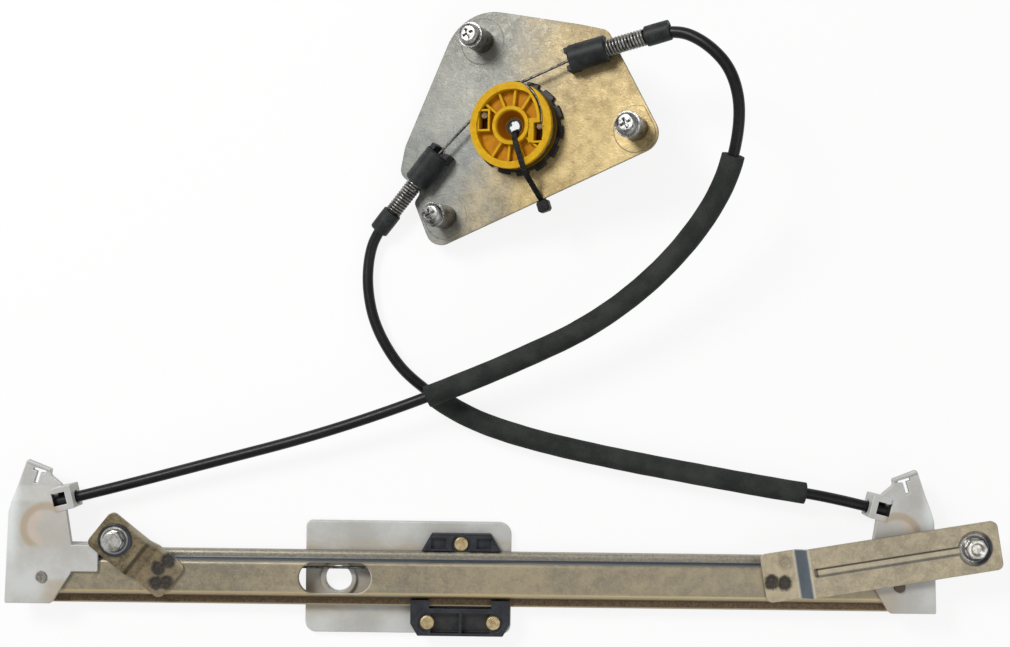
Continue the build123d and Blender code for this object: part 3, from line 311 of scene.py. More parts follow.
# painted shade and brown reflection in the low fold and on the lower flange, under the crown
in_fold = low_side * z.rise(CROWN_Z, CROWN_Z - 0.0030)
rail_zinc.cover(in_fold, rail_zinc.mix(patchy, *FOLD_SHADE_TONES))
low_flange = low_side * z.rise(*LOWER_FLANGE_Z)
rail_zinc.cover(low_flange, rail_zinc.mix(patchy, *LOW_FLANGE_SHADE_TONES))
# painted highlight along the lower flange's rounded lip
rail_zinc.cover(y.rise(LOWER_LIP_Y + 0.0004, LOWER_LIP_Y - 0.0002), LIP_HIGHLIGHT)
high_side = y.rise(UPPER_WALL_Y - 0.0008, UPPER_WALL_Y)
top_flange = high_side * y.rise(*UPPER_FLANGE_Y)
# painted blue sky reflection on the upper wall, which faces up towards the light
high_wall = high_side * z.rise(CROWN_Z + 0.0008, CROWN_Z - 0.001) * y.rise(*UPPER_FLANGE_Y[::-1])
rail_zinc.cover(high_wall, BLUE_WALL_REFLECTION)
# painted light: the upper flange is paler where it faces the lamp
clouded = (grain * 0.6 + rolled * 0.5).rise(0.4, 0.75)
rail_zinc.cover(top_flange * 0.8, rail_zinc.mix(clouded, *TOP_FLANGE_LIT_TONES))
slot_x = (abs(x - SLOT_CENTRE[0]) - SLOT_STRAIGHT).most(0.0)
slot_y = y - SLOT_CENTRE[1]
past_slot = (slot_x * slot_x + slot_y * slot_y) ** 0.5 - SLOT_RADIUS
# painted light round the slot: a shaded dark line on the upper left rim, glints on the lower right
glint_side = (x - SLOT_CENTRE[0] - slot_y * 2.2).rise(0.0, 0.016)
on_rim = past_slot.rise(0.00075, 0.00035) * crown_edge
rail_zinc.cover(on_rim * 0.75, rail_zinc.mix(glint_side, *SLOT_RIM_SHADE_AND_GLINT))
# painted highlight on the rounded edges, kept off the slot's rim
edge = (0.0004, 0.3 * (1.0 - on_rim), ZINC_EDGE_HIGHLIGHT)
rough = 0.34 + grain * 0.14 + flecks * 0.10
rail_zinc.surface(rough, grain + flecks * 0.4, 0.00006, edge)
rail_zinc.paint("rail")

# ================================================================ cable guides
# Two mirror-image nylon mouldings on the ends of the rail: a roof of 3.2 mm on a solid body, a
# square block that seats the conduit, a tongue on the rail and an ear with a T-shaped slot.
GUIDE_X = {"left": -0.2472, "right": 0.2158}
RAIL_MIDDLE_Y = -0.1413
# From here to the tongue, sizes are in millimetres from the guide's own place, for the left one.
ROOF_TOP = 20.4
ROOF_UNDER = 17.2
ROOF_SOFT = 1.2
EAR_UNDER = 15.8
EAR_FROM_Y = 39.0
EAR_RAMP = ((36.0, 21.4), (50.0, 19.0))  # where it starts and ends, with the height there
CLEAR = (-40, 40)  # wider than the guide
CLEAR_Y = (-30, 80)  # and longer
SKY_Z = 25  # above all of it
ROOM_Z = 10  # below the roof, for cuts up through it
GROUND_Z = -1  # below all of it
GROOVE_END = 30  # past the guide's edge
ROUND_SIDES = 40
ROOF_CORNERS = (
    (-21.9, -13.9),
    (3.3, -13.9),
    (14.2, 3.5),
    (14.0, 18.2),
    (11.0, 36.8),
    (8.0, 50.6),
    (1.7, 55.9),
    (2.5, 58.7),
    (-10.9, 64.0),
    (-18.4, 42.0),
    (-20.2, 36.0),
)
BODY_CORNERS = (
    (-19.5, -12.5),
    (-1.5, -12.5),
    (6.5, 2.5),
    (6.5, 18.0),
    (4.0, 36.0),
    (-1.5, 48.5),
    (-12.5, 49.5),
    (-16.5, 41.5),
    (-17.8, 36.0),
)
BODY_SOFT = 1.5
BODY_TOP = 18.5
TURN = (0.0, 22.6, 16.5)  # middle and radius of the wire's turn
GROOVE_HALF = 1.1
GROOVE_ROOF = 13.2
HOLLOW = (-5.0, 23.6, 7.0, 16.0)  # place, radius and roof of the core in the back
CONDUIT_ANGLE = 14.0
SEAT = (9.2, 43.3)
SEAT_HALF = (5.0, 6.5)
SEAT_Z = (5.5, 20.7)
SEAT_WINDOW = (7.2, 42.8, 3.7, 3.4)  # middle and half sizes
WINDOW_FLOOR = 12
CAP_BORE = 3.95  # radius
CAP_AXIS = ((-2.0, 39.10, 12.0), (22.0, 45.08, 12.0))
CATCH = ((-4.1, 58.3), -17.0)  # place and turn
CATCH_BAR = (-3.5, 3.5, -0.9, 0.9)
CATCH_STEM = (-1.1, 1.1, -7.4, 0.0)
EAR_RIM = ((-4.2, 61.35), -21.6)  # place and turn
EAR_RIM_SIZE = (-6.6, 6.9, -1.0, 0.3)
EAR_RIM_Z = (15.9, 20.2)
PIN = (-1.8, 0.6, 2.95)  # middle and radius
PIN_SINK = 19.5  # floor of the recess round its head
PLATE_SOFT = 0.8
TONGUE = (8.0, 28.4, 3.7, 18.0)  # from and to, along the rail and across it
TONGUE_UNDER = 18.35
TONGUE_LIP = (8.0, 28.3, 15.2, 17.95)
TONGUE_LIP_Z = (8.0, 20.0)
MILK = (0.560, 0.570, 0.550)
MILK_HIGHLIGHT = (0.800, 0.840, 0.850)
MILK_SHADE = (0.430, 0.420, 0.390)
CORE_TONE = (0.435, 0.400, 0.345)
GROOVE_TONE = (0.400, 0.310, 0.205)
BLUSH = (0.600, 0.460, 0.360)
RAIL_THROUGH = (0.40, 0.32, 0.21)
WINDOW_SHADE = (0.015, 0.014, 0.014)
# Where the milky plastic shows what lies under it, in metres. In a pair the tone starts at the
# first value and is full at the second.
TURN_MIDDLE_Y = 0.0273
NEAR_TOP_Z = (0.0160, 0.0180)
CORE_RADIUS = (0.0220, 0.0060)
GROOVE_RADIUS = 0.0118
BLUSH_RADIUS = (0.0112, 0.0088)
WIRE_CORNER = ((-0.0085, -0.0045), (-0.0135, -0.0075), (-0.0090, -0.0020))
# where the painted highlight on the outer rim fades
LIT_RIM_FADE = ((0.0120, 0.0190), (-0.0340, 0.0))
RAIL_EDGE_Y = (-0.0265, -0.0300)
WINDOW_SHADE_Z = (0.0203, 0.0196)


def length_along(points):
    """Running length at each point of a line: the sum of the distances so far."""
    steps = np.linalg.norm(np.diff(points, axis=0), axis=1)
    return np.concatenate([[0.0], np.cumsum(steps)])


def resample(points, step, start=0.0, end=None):
    """Points about step apart along a line, from one running length to another."""
    points = np.asarray(points, float)
    run = length_along(points)
    end = run[-1] if end is None else end
    at = np.linspace(start, end, max(3, round((end - start) / step) + 1))
    return np.stack([np.interp(at, run, points[:, i]) for i in range(3)], axis=1)


def carried(points, up=(0.0, 0.0, 1.0)):
    """Side and upright at each point: side = tangent x up, upright = side x tangent."""
    tangent = np.gradient(points, axis=0)
    tangent /= np.linalg.norm(tangent, axis=1)[:, None]
    side = np.cross(tangent, np.asarray(up, float))
    side /= np.linalg.norm(side, axis=1)[:, None]
    return side, np.cross(side, tangent)


def new_piece(name, vertices, faces, smooth=True):
    """A mesh object at the origin, linked to the scene."""
    mesh = bpy.data.meshes.new(name)
    mesh.from_pydata(vertices.reshape(-1, 3).tolist(), [], faces)
    mesh.polygons.foreach_set("use_smooth", [smooth] * len(mesh.polygons))
    made = bpy.data.objects.new(name, mesh)
    scene.collection.objects.link(made)
    return made


def fit(piece, finish, body, stands_for=None):
    """Paints a piece, hides the part it stands for, if any, and hangs it on the body it moves with."""
    finish.paint(piece.name)
    if stands_for:
        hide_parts(stands_for)
    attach(piece, body)


def grid_faces(rows, columns, ring_rows=False):
    """Quads of a grid whose columns close round; the rows close too if ring_rows."""
    i, j = np.meshgrid(np.arange(rows - (not ring_rows)), np.arange(columns), indexing="ij")
    i2, j2 = (i + 1) % rows, (j + 1) % columns
    corners = (i * columns + j, i2 * columns + j, i2 * columns + j2, i * columns + j2)
    return np.stack(corners, axis=-1).reshape(-1, 4).tolist()


def tube_grid(points, radius, sides, up=(0.0, 0.0, 1.0)):
    """Circle of the given radius carried along a line: point + r (cos a side + sin a upright).

    The radius may be one number or an array of (points, sides).
    """
    side, upright = carried(points, up)
    angle = np.linspace(0, 2 * np.pi, sides, endpoint=False)[None, :, None]
    ring = np.cos(angle) * side[:, None, :] + np.sin(angle) * upright[:, None, :]
    radius = np.broadcast_to(radius, (len(points), sides))[:, :, None]
    return points[:, None, :] + ring * radius


def closed_tube(name, grid, smooth=True):
    """A tube of the grid's rows with a flat face on each end."""
    rows, sides = grid.shape[:2]
    faces = grid_faces(rows, sides)
    faces.append(list(range(sides)))
    faces.append(list(range((rows - 1) * sides, rows * sides))[::-1])
    return new_piece(name, grid, faces, smooth)


def rectangle(x0, x1, y0, y1):
    """Anticlockwise corners of a rectangle."""
    return [(x0, y0), (x1, y0), (x1, y1), (x0, y1)]


def circle(radius):
    """Points on a circle: r (cos a, sin a)."""
    turn = np.linspace(0, 2 * np.pi, ROUND_SIDES, endpoint=False)
    return np.stack([radius * np.cos(turn), radius * np.sin(turn)], axis=1)


def softened(corners, cut):
    """Outline with each corner rounded: p(t) = (1-t)^2 a + 2 t (1-t) corner + t^2 b."""
    corners = np.array(corners, float)
    t = np.linspace(0, 1, 6)[:, None]
    made = []
    for before, corner, after in zip(np.roll(corners, 1, 0), corners, np.roll(corners, -1, 0)):
        a = corner + (before - corner) * cut / np.linalg.norm(before - corner)
        b = corner + (after - corner) * cut / np.linalg.norm(after - corner)
        made.append((1 - t) ** 2 * a + 2 * t * (1 - t) * corner + t**2 * b)
    return np.concatenate(made)


def prism(outline, low, high, at=(0.0, 0.0), turn=0.0):
    """Solid of an anticlockwise outline between two heights, in millimetres."""
    turn = math.radians(turn)
    spin = np.array([[math.cos(turn), math.sin(turn)], [-math.sin(turn), math.cos(turn)]])
    plan = np.array(outline, float) @ spin + np.array(at)
    levels = [np.c_[plan, np.full(len(plan), height)] for height in (high, low)]
    return closed_tube("prism", np.stack(levels) / 1000, smooth=False)


def carve(piece, operation, tool):
    """Joins a tool to the piece (UNION) or cuts it out (DIFFERENCE); the tool is used up."""
    cut = piece.modifiers.new("carve", "BOOLEAN")
    cut.operation = operation
    cut.object = tool
    bpy.context.view_layer.update()
    ready = piece.evaluated_get(bpy.context.evaluated_depsgraph_get())
    mesh = bpy.data.meshes.new_from_object(ready)
    piece.modifiers.clear()
    piece.data = mesh
    bpy.data.objects.remove(tool)


def join(piece, *sizes):
    """Adds a prism of these sizes to the piece."""
    carve(piece, "UNION", prism(*sizes))


def cut_out(piece, *sizes):
    """Takes a prism of these sizes out of the piece."""
    carve(piece, "DIFFERENCE", prism(*sizes))


def cable_guide_mesh():
    """The left guide about its own place, in metres."""
    guide = prism(softened(ROOF_CORNERS, ROOF_SOFT), EAR_UNDER, ROOF_TOP)
    ramp = [
        np.c_[rectangle(*CLEAR, start, CLEAR_Y[1]), np.full(4, height)] for start, height in EAR_RAMP
    ]
    carve(guide, "DIFFERENCE", closed_tube("ramp", np.stack(ramp) / 1000, smooth=False))
    cut_out(guide, rectangle(*CLEAR, CLEAR_Y[0], EAR_FROM_Y), ROOM_Z, ROOF_UNDER)
    join(guide, softened(BODY_CORNERS, BODY_SOFT), 0.0, BODY_TOP)
    half_x, half_y = SEAT_HALF
    block = softened(rectangle(-half_x, half_x, -half_y, half_y), PLATE_SOFT)
    join(guide, block, *SEAT_Z, SEAT, CONDUIT_ANGLE)
    join(guide, softened(rectangle(*TONGUE), PLATE_SOFT), TONGUE_UNDER, ROOF_TOP)
    join(guide, rectangle(*TONGUE_LIP), *TONGUE_LIP_Z)
    join(guide, rectangle(*EAR_RIM_SIZE), *EAR_RIM_Z, *EAR_RIM)
    cut_out(guide, rectangle(*CATCH_BAR), ROOM_Z, SKY_Z, *CATCH)
    cut_out(guide, rectangle(*CATCH_STEM), ROOM_Z, SKY_Z, *CATCH)
    x, y, long, high = SEAT_WINDOW
    window = rectangle(-long, long, -high, high)
    cut_out(guide, window, WINDOW_FLOOR, SKY_Z, (x, y), CONDUIT_ANGLE)
    axis = np.linspace(*np.array(CAP_AXIS), 3) / 1000
    carve(guide, "DIFFERENCE", closed_tube("bore", tube_grid(axis, CAP_BORE / 1000, ROUND_SIDES)))
    cut_out(guide, circle(PIN[2]), PIN_SINK, SKY_Z, PIN[:2])
    middle_x, middle_y, radius = TURN
    turn = np.radians(np.linspace(90 + CONDUIT_ANGLE, 270, 30))[:, None]
    way = np.concatenate([np.cos(turn), np.sin(turn)], axis=1)
    inner, outer = radius - GROOVE_HALF, radius + GROOVE_HALF
    ends = [(GROOVE_END, -inner), (GROOVE_END, -outer)]
    groove = np.concatenate([way * inner, ends, (way * outer)[::-1]])
    cut_out(guide, groove[::-1], GROUND_Z, GROOVE_ROOF, (middle_x, middle_y))
    x, y, radius, roof = HOLLOW
    cut_out(guide, circle(radius), GROUND_Z, roof, (x, y))
    mesh = guide.data
    bpy.data.objects.remove(guide)
    return mesh


def milky_nylon(name):
    """Natural nylon: cloudy, a little translucent, with painted highlights on its edges and corners."""
    nylon = Finish(name, subsurface_weight=0.12, subsurface_scale=0.003, specular_ior_level=0.45)
    clouds = nylon.noise(0.013, 2.0, 0.5)
    flow = nylon.noise(0.0012, 2.0, 0.5)
    nylon.colour = nylon.mix((clouds * 0.8 + flow * 0.15).rise(0.30, 0.66), MILK_SHADE, MILK)
    edge = (0.0011, 0.75, MILK_HIGHLIGHT)
    nylon.surface(0.34 + clouds * 0.2, clouds + flow * 0.25, 0.00012, edge)
    return nylon


shape = cable_guide_mesh()
local = np.empty(len(shape.vertices) * 3)
shape.vertices.foreach_get("co", local)
local = local.reshape(-1, 3)
for side, guide_x in GUIDE_X.items():
    sign = -1 if side == "left" else 1
    mesh = shape.copy()
    mesh.vertices.foreach_set("co", (local * (-sign, 1, 1) + (guide_x, RAIL_MIDDLE_Y, 0)).ravel())
    if side == "right":
        mesh.flip_normals()
    moulding = bpy.data.objects.new(side + "_guide_moulding", mesh)
    scene.collection.objects.link(moulding)
    guide = milky_nylon(side + "_guide_nylon")
    x, y, z = guide.axes()
    out = (x - guide_x) * sign  # away from the middle of the rail
    above = y - (RAIL_MIDDLE_Y + TURN_MIDDLE_Y)
    radius = (out * out + above * above) ** 0.5
    near_top = z.rise(*NEAR_TOP_Z)
    across_fade, along_fade = LIT_RIM_FADE
    # painted highlight along the guide's outer rim
    rim = out.rise(*across_fade) * above.rise(*along_fade)
    guide.cover(rim * 0.60, MILK_HIGHLIGHT)
    guide.cover(radius.rise(*CORE_RADIUS) * near_top * 0.50, CORE_TONE)
    from_side, from_below, from_corner = WIRE_CORNER
    swept_by = out.rise(*from_side) * above.rise(*from_below) * (out + above).rise(*from_corner)
    guide.cover(radius.band(GROOVE_RADIUS, 0.0009, 0.0022) * swept_by * near_top * 0.75, GROOVE_TONE)
    blush = radius.rise(*BLUSH_RADIUS) * radius.rise(0.0030, 0.0075) * out.rise(0.0, 0.004)
    guide.cover(blush * near_top * 0.45, BLUSH)
    under = above.rise(*RAIL_EDGE_Y) * out.rise(0.0060, -0.0040) * near_top
    guide.cover(under * 0.55, RAIL_THROUGH)
    # painted shade on the walls inside the seat's window
    middle_x, middle_y, half_x, half_y = (0.001 * size for size in SEAT_WINDOW)
    window_x = middle_x + out
    window_y = y - (RAIL_MIDDLE_Y + middle_y)
    tilt = math.radians(CONDUIT_ANGLE)  # the window lies along the conduit
    long = window_y * math.sin(tilt) - window_x * math.cos(tilt)
    high = window_x * math.sin(tilt) + window_y * math.cos(tilt)
    inside = long.band(0.0, half_x + 0.0003, 0.0001) * high.band(0.0, half_y + 0.0003, 0.0001)
    guide.cover(inside * z.rise(*WINDOW_SHADE_Z) * 0.95, WINDOW_SHADE)
    fit(moulding, guide, "root", side + "_cable_guide")

# ================================================================ guide pins and conduit caps
# A hollow steel pin drives through each guide and the rail below it, dull with a brown film.
# The caps are black plastic, pushed on the conduits' ends and held in the guides' blocks.
PIN_TONES = ((0.200, 0.178, 0.155), (0.380, 0.350, 0.310))
PIN_RUST = (0.070, 0.048, 0.034)
CAP_TONES = ((0.012, 0.012, 0.014), (0.030, 0.030, 0.032))
CAP_EDGE = (0.0003, 0.0, None)


def mottled(name, patches, spread, tones, rough, depth, edge=None, **constants):
    """A finish that one cloudy value runs through.

    patches: the value's size, detail and roughness. spread: its levels for the two tones.
    Surface roughness = rough[0] + rough[1] x value. edge: as Finish.surface takes it.
    """
    finish = Finish(name, **constants)
    value = finish.noise(*patches)
    finish.colour = finish.mix(value.rise(*spread), *tones)
    finish.surface(rough[0] + value * rough[1], value, depth, edge)
    return finish


pin_steel = mottled(
    "pin_steel", (0.0009, 3.0), (0.3, 0.7), PIN_TONES, (0.38, 0.25), 0.00008,
    metallic=0.8, specular_ior_level=0.5,
)
pin_steel.cover(pin_steel.axes()[0].rise(0.0, 0.1) * 0.85, PIN_RUST)
pin_steel.paint("left_guide_pin", "right_guide_pin")

cap_plastic = mottled(
    "cap_plastic", (0.0006, 2.0), (0.3, 0.75), CAP_TONES, (0.40, 0.2), 0.00005, CAP_EDGE,
    specular_ior_level=0.4,
)
cap_plastic.paint("left_conduit_cap", "right_conduit_cap")

# ================================================================ wire along the rail
# Galvanised wire rope of 1.5 mm, six strands laid round a core, taut under the crown.
# It turns through each guide and ends in the conduit caps.
ROPE_RADIUS = 0.00075
ROPE_LAY = 0.0105
ROPE_STRANDS = 6
ROPE_DIP = 0.14
ROPE_SIDES = 24
ROPE_STEP = 0.0006
ROPE_TONES = ((0.050, 0.046, 0.040), (0.240, 0.228, 0.205))
ROPE_HEIGHT = 0.0120
CONDUIT_SEAT = 0.0068


def rope(name, points, up=(0.0, 0.0, 1.0)):
    """Laid wire rope: r = R (1 - dip + dip |cos(n (a - 2 pi s / lay) / 2)|), s the length so far."""
    line = resample(points, ROPE_STEP)
    angle = np.linspace(0, 2 * np.pi, ROPE_SIDES, endpoint=False)
    turn = angle[None, :] - 2 * np.pi * length_along(line)[:, None] / ROPE_LAY
    lobes = 1 - ROPE_DIP + ROPE_DIP * np.abs(np.cos(ROPE_STRANDS * turn / 2))
    return closed_tube(name, tube_grid(line, ROPE_RADIUS * lobes, ROPE_SIDES, up))


rope_steel = Finish("rope_steel", metallic=0.85, specular_ior_level=0.5)
smut = rope_steel.noise(0.0011, 3.0)
rope_steel.colour = rope_steel.mix(smut.rise(0.3, 0.7), *ROPE_TONES)
rope_steel.surface(0.30 + smut * 0.2, rope_steel.noise(0.0002, 1.0), 0.00003)

# Each end leaves the conduit's seat and goes round the guide's turn: centre + r (cos a, sin a).
rise = math.radians(CONDUIT_ANGLE)
turn = np.linspace(np.pi / 2 + rise, 1.5 * np.pi, ROUND_SIDES)
arc = np.stack([np.cos(turn), np.sin(turn)], axis=1) * TURN[2] / 1000
out_of_seat = np.array([math.cos(rise), math.sin(rise)]) * CONDUIT_SEAT
arc = np.concatenate([arc[:1] + out_of_seat, arc])
ends = []
for side, sign in (("left", 1), ("right", -1)):
    centre = np.array([GUIDE_X[side], RAIL_MIDDLE_Y + TURN[1] / 1000])
    ends.append(np.c_[centre + arc * (sign, 1), np.full(len(arc), ROPE_HEIGHT)])
run = np.concatenate([ends[0], ends[1][::-1]])
rail_rope = rope("rail_wire_rope", run)
fit(rail_rope, rope_steel, "root", "rail_wire")

# ================================================================ glass carrier
# Injection-moulded nylon plate that the window glass bolts to. It slides under the rail on two
# black shoes, and its collared hole is reached through the slot in the crown.
DUSTY_NYLON = (0.44, 0.37, 0.27)
BLUISH_SHEEN = (0.50, 0.56, 0.62)
BESIDE_RAIL_Y = ((-0.1660, -0.1585), (-0.1180, -0.1255))
LOW_RIM_Y = (-0.1680, -0.1720)

carrier = milky_nylon("carrier_nylon")
x, y, z = carrier.axes()
below, above = BESIDE_RAIL_Y
beside = y.rise(*below) * y.rise(*above)
streaks = carrier.noise(0.005, 3.0, 0.6, carrier.turned(Matrix(), (0.35, 1.0, 1.0)))
carrier.cover(beside * streaks.rise(0.30, 0.60) * 0.75, DUSTY_NYLON)
# painted bluish sheen along the carrier's low rim
sheen = streaks.rise(0.50, 0.66) * y.rise(*LOW_RIM_Y)
carrier.cover(sheen * 0.35, BLUISH_SHEEN)
carrier.paint("glass_carrier")

# ================================================================ slide shoes
# Two black acetal shoes riveted to the carrier: one straddles the rail's turned-down lip, the
# other closes over the lower flange with two arms. Smooth, with dust in the moulded pockets.
SHOE_TONES = ((0.007, 0.008, 0.012), (0.022, 0.026, 0.035))
SHOE_DUST = (0.034, 0.025, 0.013)
# painted highlight on the shoes' rounded edges
SHOE_EDGE_HIGHLIGHT = (0.0005, 0.5, (0.070, 0.076, 0.090))
POCKET_Z = (0.0105, 0.0090)
ARMS_Y = (-0.1530, -0.1560)

shoe_black = Finish("shoe_black", specular_ior_level=0.5)
dust = shoe_black.noise(0.0030, 4.0, 0.65)
scuff = shoe_black.noise(0.0006, 2.0, 0.6)
shoe_black.colour = shoe_black.mix((dust * 0.75 + scuff * 0.3).rise(0.38, 0.72), *SHOE_TONES)
x, y, z = shoe_black.axes()
deep = z.rise(*POCKET_Z) * y.rise(*ARMS_Y) * dust.rise(0.35, 0.65)
shoe_black.cover(deep * 0.6, SHOE_DUST)
shoe_black.surface(0.32 + dust * 0.22, dust * 0.6 + scuff * 0.4, 0.00010, SHOE_EDGE_HIGHLIGHT)
shoe_black.paint("upper_slide_shoe", "lower_slide_shoe")

# ================================================================ rivets and carrier nipples
# Solid brass rivets, cut and lightly polished, hold the shoes; brass nipples crimped on the
# wire sit in the carrier's block. A painted highlight brightens the rounded rims; the faces are dull.
BRASS_TONES = ((0.400, 0.300, 0.150), (0.700, 0.560, 0.320))
BRASS_RIM_HIGHLIGHT = (0.0006, 0.7, (0.820, 0.690, 0.420))

brass = mottled(
    "brass", (0.0016, 4.0, 0.6), (0.32, 0.70), BRASS_TONES, (0.30, 0.28), 0.00006, BRASS_RIM_HIGHLIGHT,
    metallic=0.75, specular_ior_level=0.5,
)
brass.paint("upper_shoe_rivet", "lower_shoe_rivets", "left_cable_nipple", "right_cable_nipple")

# ================================================================ brackets
# Two strips of 2 mm galvanised sheet, stepped so that they stand off the rail, and spot-welded
# to its crown. The long one has a pressed bead. The welds are burnt brown-black.
BRACKETS = {  # the bolt's place, the strip's turn, and the welds in mm from the bolt
    "short": ((-0.2081, -0.1196), -38.4, ((27.4, 1.6), (31.2, -5.4), (35.2, -1.6), (28.8, 8.0))),
    "long": ((0.2566, -0.1184), 9.6, ((-110.0, -2.0), (-103.6, -3.8), (-101.4, 7.2))),
}
BRACKET_TONES = {
    "short": ((0.105, 0.080, 0.042), (0.310, 0.248, 0.148)),
    "long": ((0.275, 0.238, 0.172), (0.480, 0.405, 0.275)),
}
STEEL_EDGE_HIGHLIGHT = (0.640, 0.610, 0.520)
WELD_SPOT = (0.0054, 0.0032)
WELD_Z = 0.0202
WELD_FAINT = {"short": 1.0, "long": 0.25}  # how burnt the last weld is
BURNT_TONES = ((0.014, 0.011, 0.009), (0.060, 0.045, 0.032))
LONG_RISER_REFLECTION = (0.095, 0.140, 0.195)
LONG_RISER_AT = -0.0930
LONG_BENDS = (-0.0962, -0.0896)
DISH_RADIUS = 0.0091
SHORT_RISER_AT = 0.0152
SHORT_FOOT_FROM = (0.0200, 0.0250)
BEAD_WALLS = (0.0021, -0.0020)
BEAD_FROM = (-0.0880, -0.0868)
BEAD_TO = (-0.0080, -0.0095)
BEAD_WALL_SHADE = (0.085, 0.075, 0.060)
BEAD_WALL_REFLECTION = (0.17, 0.19, 0.22)
BEAD_FLOOR_HIGHLIGHT = (0.52, 0.47, 0.36)
BEAD_END_SHADE = (0.065, 0.052, 0.036)
DISH_TONES = ((0.30, 0.29, 0.28), (0.62, 0.61, 0.59))
DISH_SHADE = (0.040, 0.048, 0.070)
SHORT_RISER_SHADE = (0.030, 0.022, 0.012)
SHORT_FOOT = (0.330, 0.265, 0.165)
SHORT_LIT = (0.480, 0.440, 0.340)


def long_marks(steel, along, across, grain):
    """Painted light: a sky reflection on the riser, highlights on the bends and the bead's floor,
    painted shade and reflection on the bead's walls, and the dish round the bolt.
    """
    steel.cover(along.band(LONG_RISER_AT, 0.0022, 0.0010) * 0.85, LONG_RISER_REFLECTION)
    bead = along.rise(*BEAD_FROM) * along.rise(*BEAD_TO)
    steel.cover(across.band(BEAD_WALLS[0], 0.0003, 0.0006) * bead * 0.8, BEAD_WALL_SHADE)
    steel.cover(across.band(BEAD_WALLS[1], 0.0002, 0.0005) * bead * 0.6, BEAD_WALL_REFLECTION)
    steel.cover(across.band(0.0, 0.0010, 0.0006) * bead * 0.4, BEAD_FLOOR_HIGHLIGHT)
    start = along.band(BEAD_FROM[1], 0.0007, 0.0010) * across.band(0.0004, 0.0018, 0.0010)
    steel.cover(start * 0.8, BEAD_END_SHADE)
    from_bolt = (along * along + across * across) ** 0.5
    dish = from_bolt.rise(DISH_RADIUS, DISH_RADIUS - 0.0006)
    steel.cover(dish * 0.75, steel.mix(grain.rise(0.3, 0.7), *DISH_TONES))
    lit_from = (along - across * 0.5).rise(-0.001, 0.006)
    crescent = from_bolt.band(DISH_RADIUS - 0.0013, 0.0008, 0.0014) * lit_from
    steel.cover(crescent * 0.9, DISH_SHADE)
    low, high = (along.band(bend, 0.0003, 0.0007) for bend in LONG_BENDS)
    steel.cover(low.most(high) * 0.5, ZINC_EDGE_HIGHLIGHT)


def short_marks(steel, along, across, grain):
    """Painted shade on the riser, a lighter foot, and one long edge that catches the light."""
    steel.cover(along.band(SHORT_RISER_AT, 0.0005, 0.0012) * 0.80, SHORT_RISER_SHADE)
    steel.cover(along.rise(*SHORT_FOOT_FROM) * 0.35, SHORT_FOOT)
    steel.cover(across.rise(0.0085, 0.0105) * along.rise(-0.002, 0.004) * 0.5, SHORT_LIT)


def burnt_share(steel, local, frayed, welds, faint):
    """1 on each weld and 0 past its frayed rim; the last weld is as strong as faint says."""
    burnt = 0.0
    for number, (along, across) in enumerate(welds, 1):
        place = (along / 1000, across / 1000, WELD_Z)
        offset = steel.node("ShaderNodeVectorMath", {"operation": "SUBTRACT"}, {0: local, 1: place})
        away = steel.node("ShaderNodeVectorMath", {"operation": "LENGTH"}, {0: offset}, output="Value")
        spot = (away + frayed).rise(*WELD_SPOT)
        burnt = (spot * (faint if number == len(welds) else 1.0)).most(burnt)
    return burnt


marks = {"short": short_marks, "long": long_marks}
for name, (bolt, angle, welds) in BRACKETS.items():
    steel = Finish(name + "_bracket_zinc", metallic=0.55, specular_ior_level=0.5)
    strip = Matrix.Translation((*bolt, 0.0)) @ Matrix.Rotation(math.radians(angle), 4, "Z")
    local = steel.turned(strip)
    along, across, _ = steel.axes(local)
    steel.colour, flecks, grain = zinc(steel, RAIL_SPANGLE, *BRACKET_TONES[name], at=local)
    marks[name](steel, along, across, grain)
    frayed = (steel.noise(0.0030, 5.0, 0.75) - 0.5) * 0.0050
    burnt = burnt_share(steel, local, frayed, welds, WELD_FAINT[name])
    char = steel.noise(0.0011, 4.0, 0.7).rise(0.45, 0.70)
    steel.cover(burnt * 0.95, steel.mix(char, *BURNT_TONES))
    steel.feed("Metallic", 0.55 - burnt * 0.5)
    rough = 0.32 + grain * 0.16 + burnt * 0.3
    spatter = burnt * frayed * 900
    # painted highlight on the rounded edges, kept off the welds
    edge = (0.0006, 0.45 * (1.0 - burnt), STEEL_EDGE_HIGHLIGHT)
    steel.surface(rough, grain + flecks * 0.4 + spatter, 0.00008, edge)
    steel.paint(name + "_bracket")

# ================================================================ bolts, washer and weld nuts
# M6 hexagon bolts, bright zinc plated, their threads free below for the door panel. The nuts
# are welded under the brackets and carry the same plating.
BOLT_RINGS = {"short": (0.0060, 0.0074), "long": (0.0062, 0.0086)}  # round head and flange
BOLT_TONES = ((0.330, 0.310, 0.275), (0.740, 0.725, 0.680))
PLATED_EDGE_HIGHLIGHT = (0.0006, 0.5, (0.900, 0.910, 0.900))
FLANGE_HIGHLIGHT = (0.82, 0.83, 0.82)
WASHER_SHADE = (0.026, 0.030, 0.040)
HEAD_FOOT_SHADE = (0.075, 0.075, 0.080)
BOLT_SHADE = (0.110, 0.125, 0.150)


def plated_zinc(name, dark, bright):
    """Bright zinc plating: painted cloudy reflections from dark to bright, with painted white highlights
    on its edges.
    """
    plating = Finish(name, metallic=0.9, specular_ior_level=0.5)
    mirrored_clouds = plating.noise(0.0024, 4.0, 0.6)
    scratch = plating.noise(0.0006, 2.0, 0.6)
    plating.colour = plating.mix((mirrored_clouds * 0.8 + scratch * 0.2).rise(0.36, 0.62), dark, bright)
    plating.surface(0.18 + mirrored_clouds * 0.24, scratch, 0.00005, PLATED_EDGE_HIGHLIGHT)
    return plating


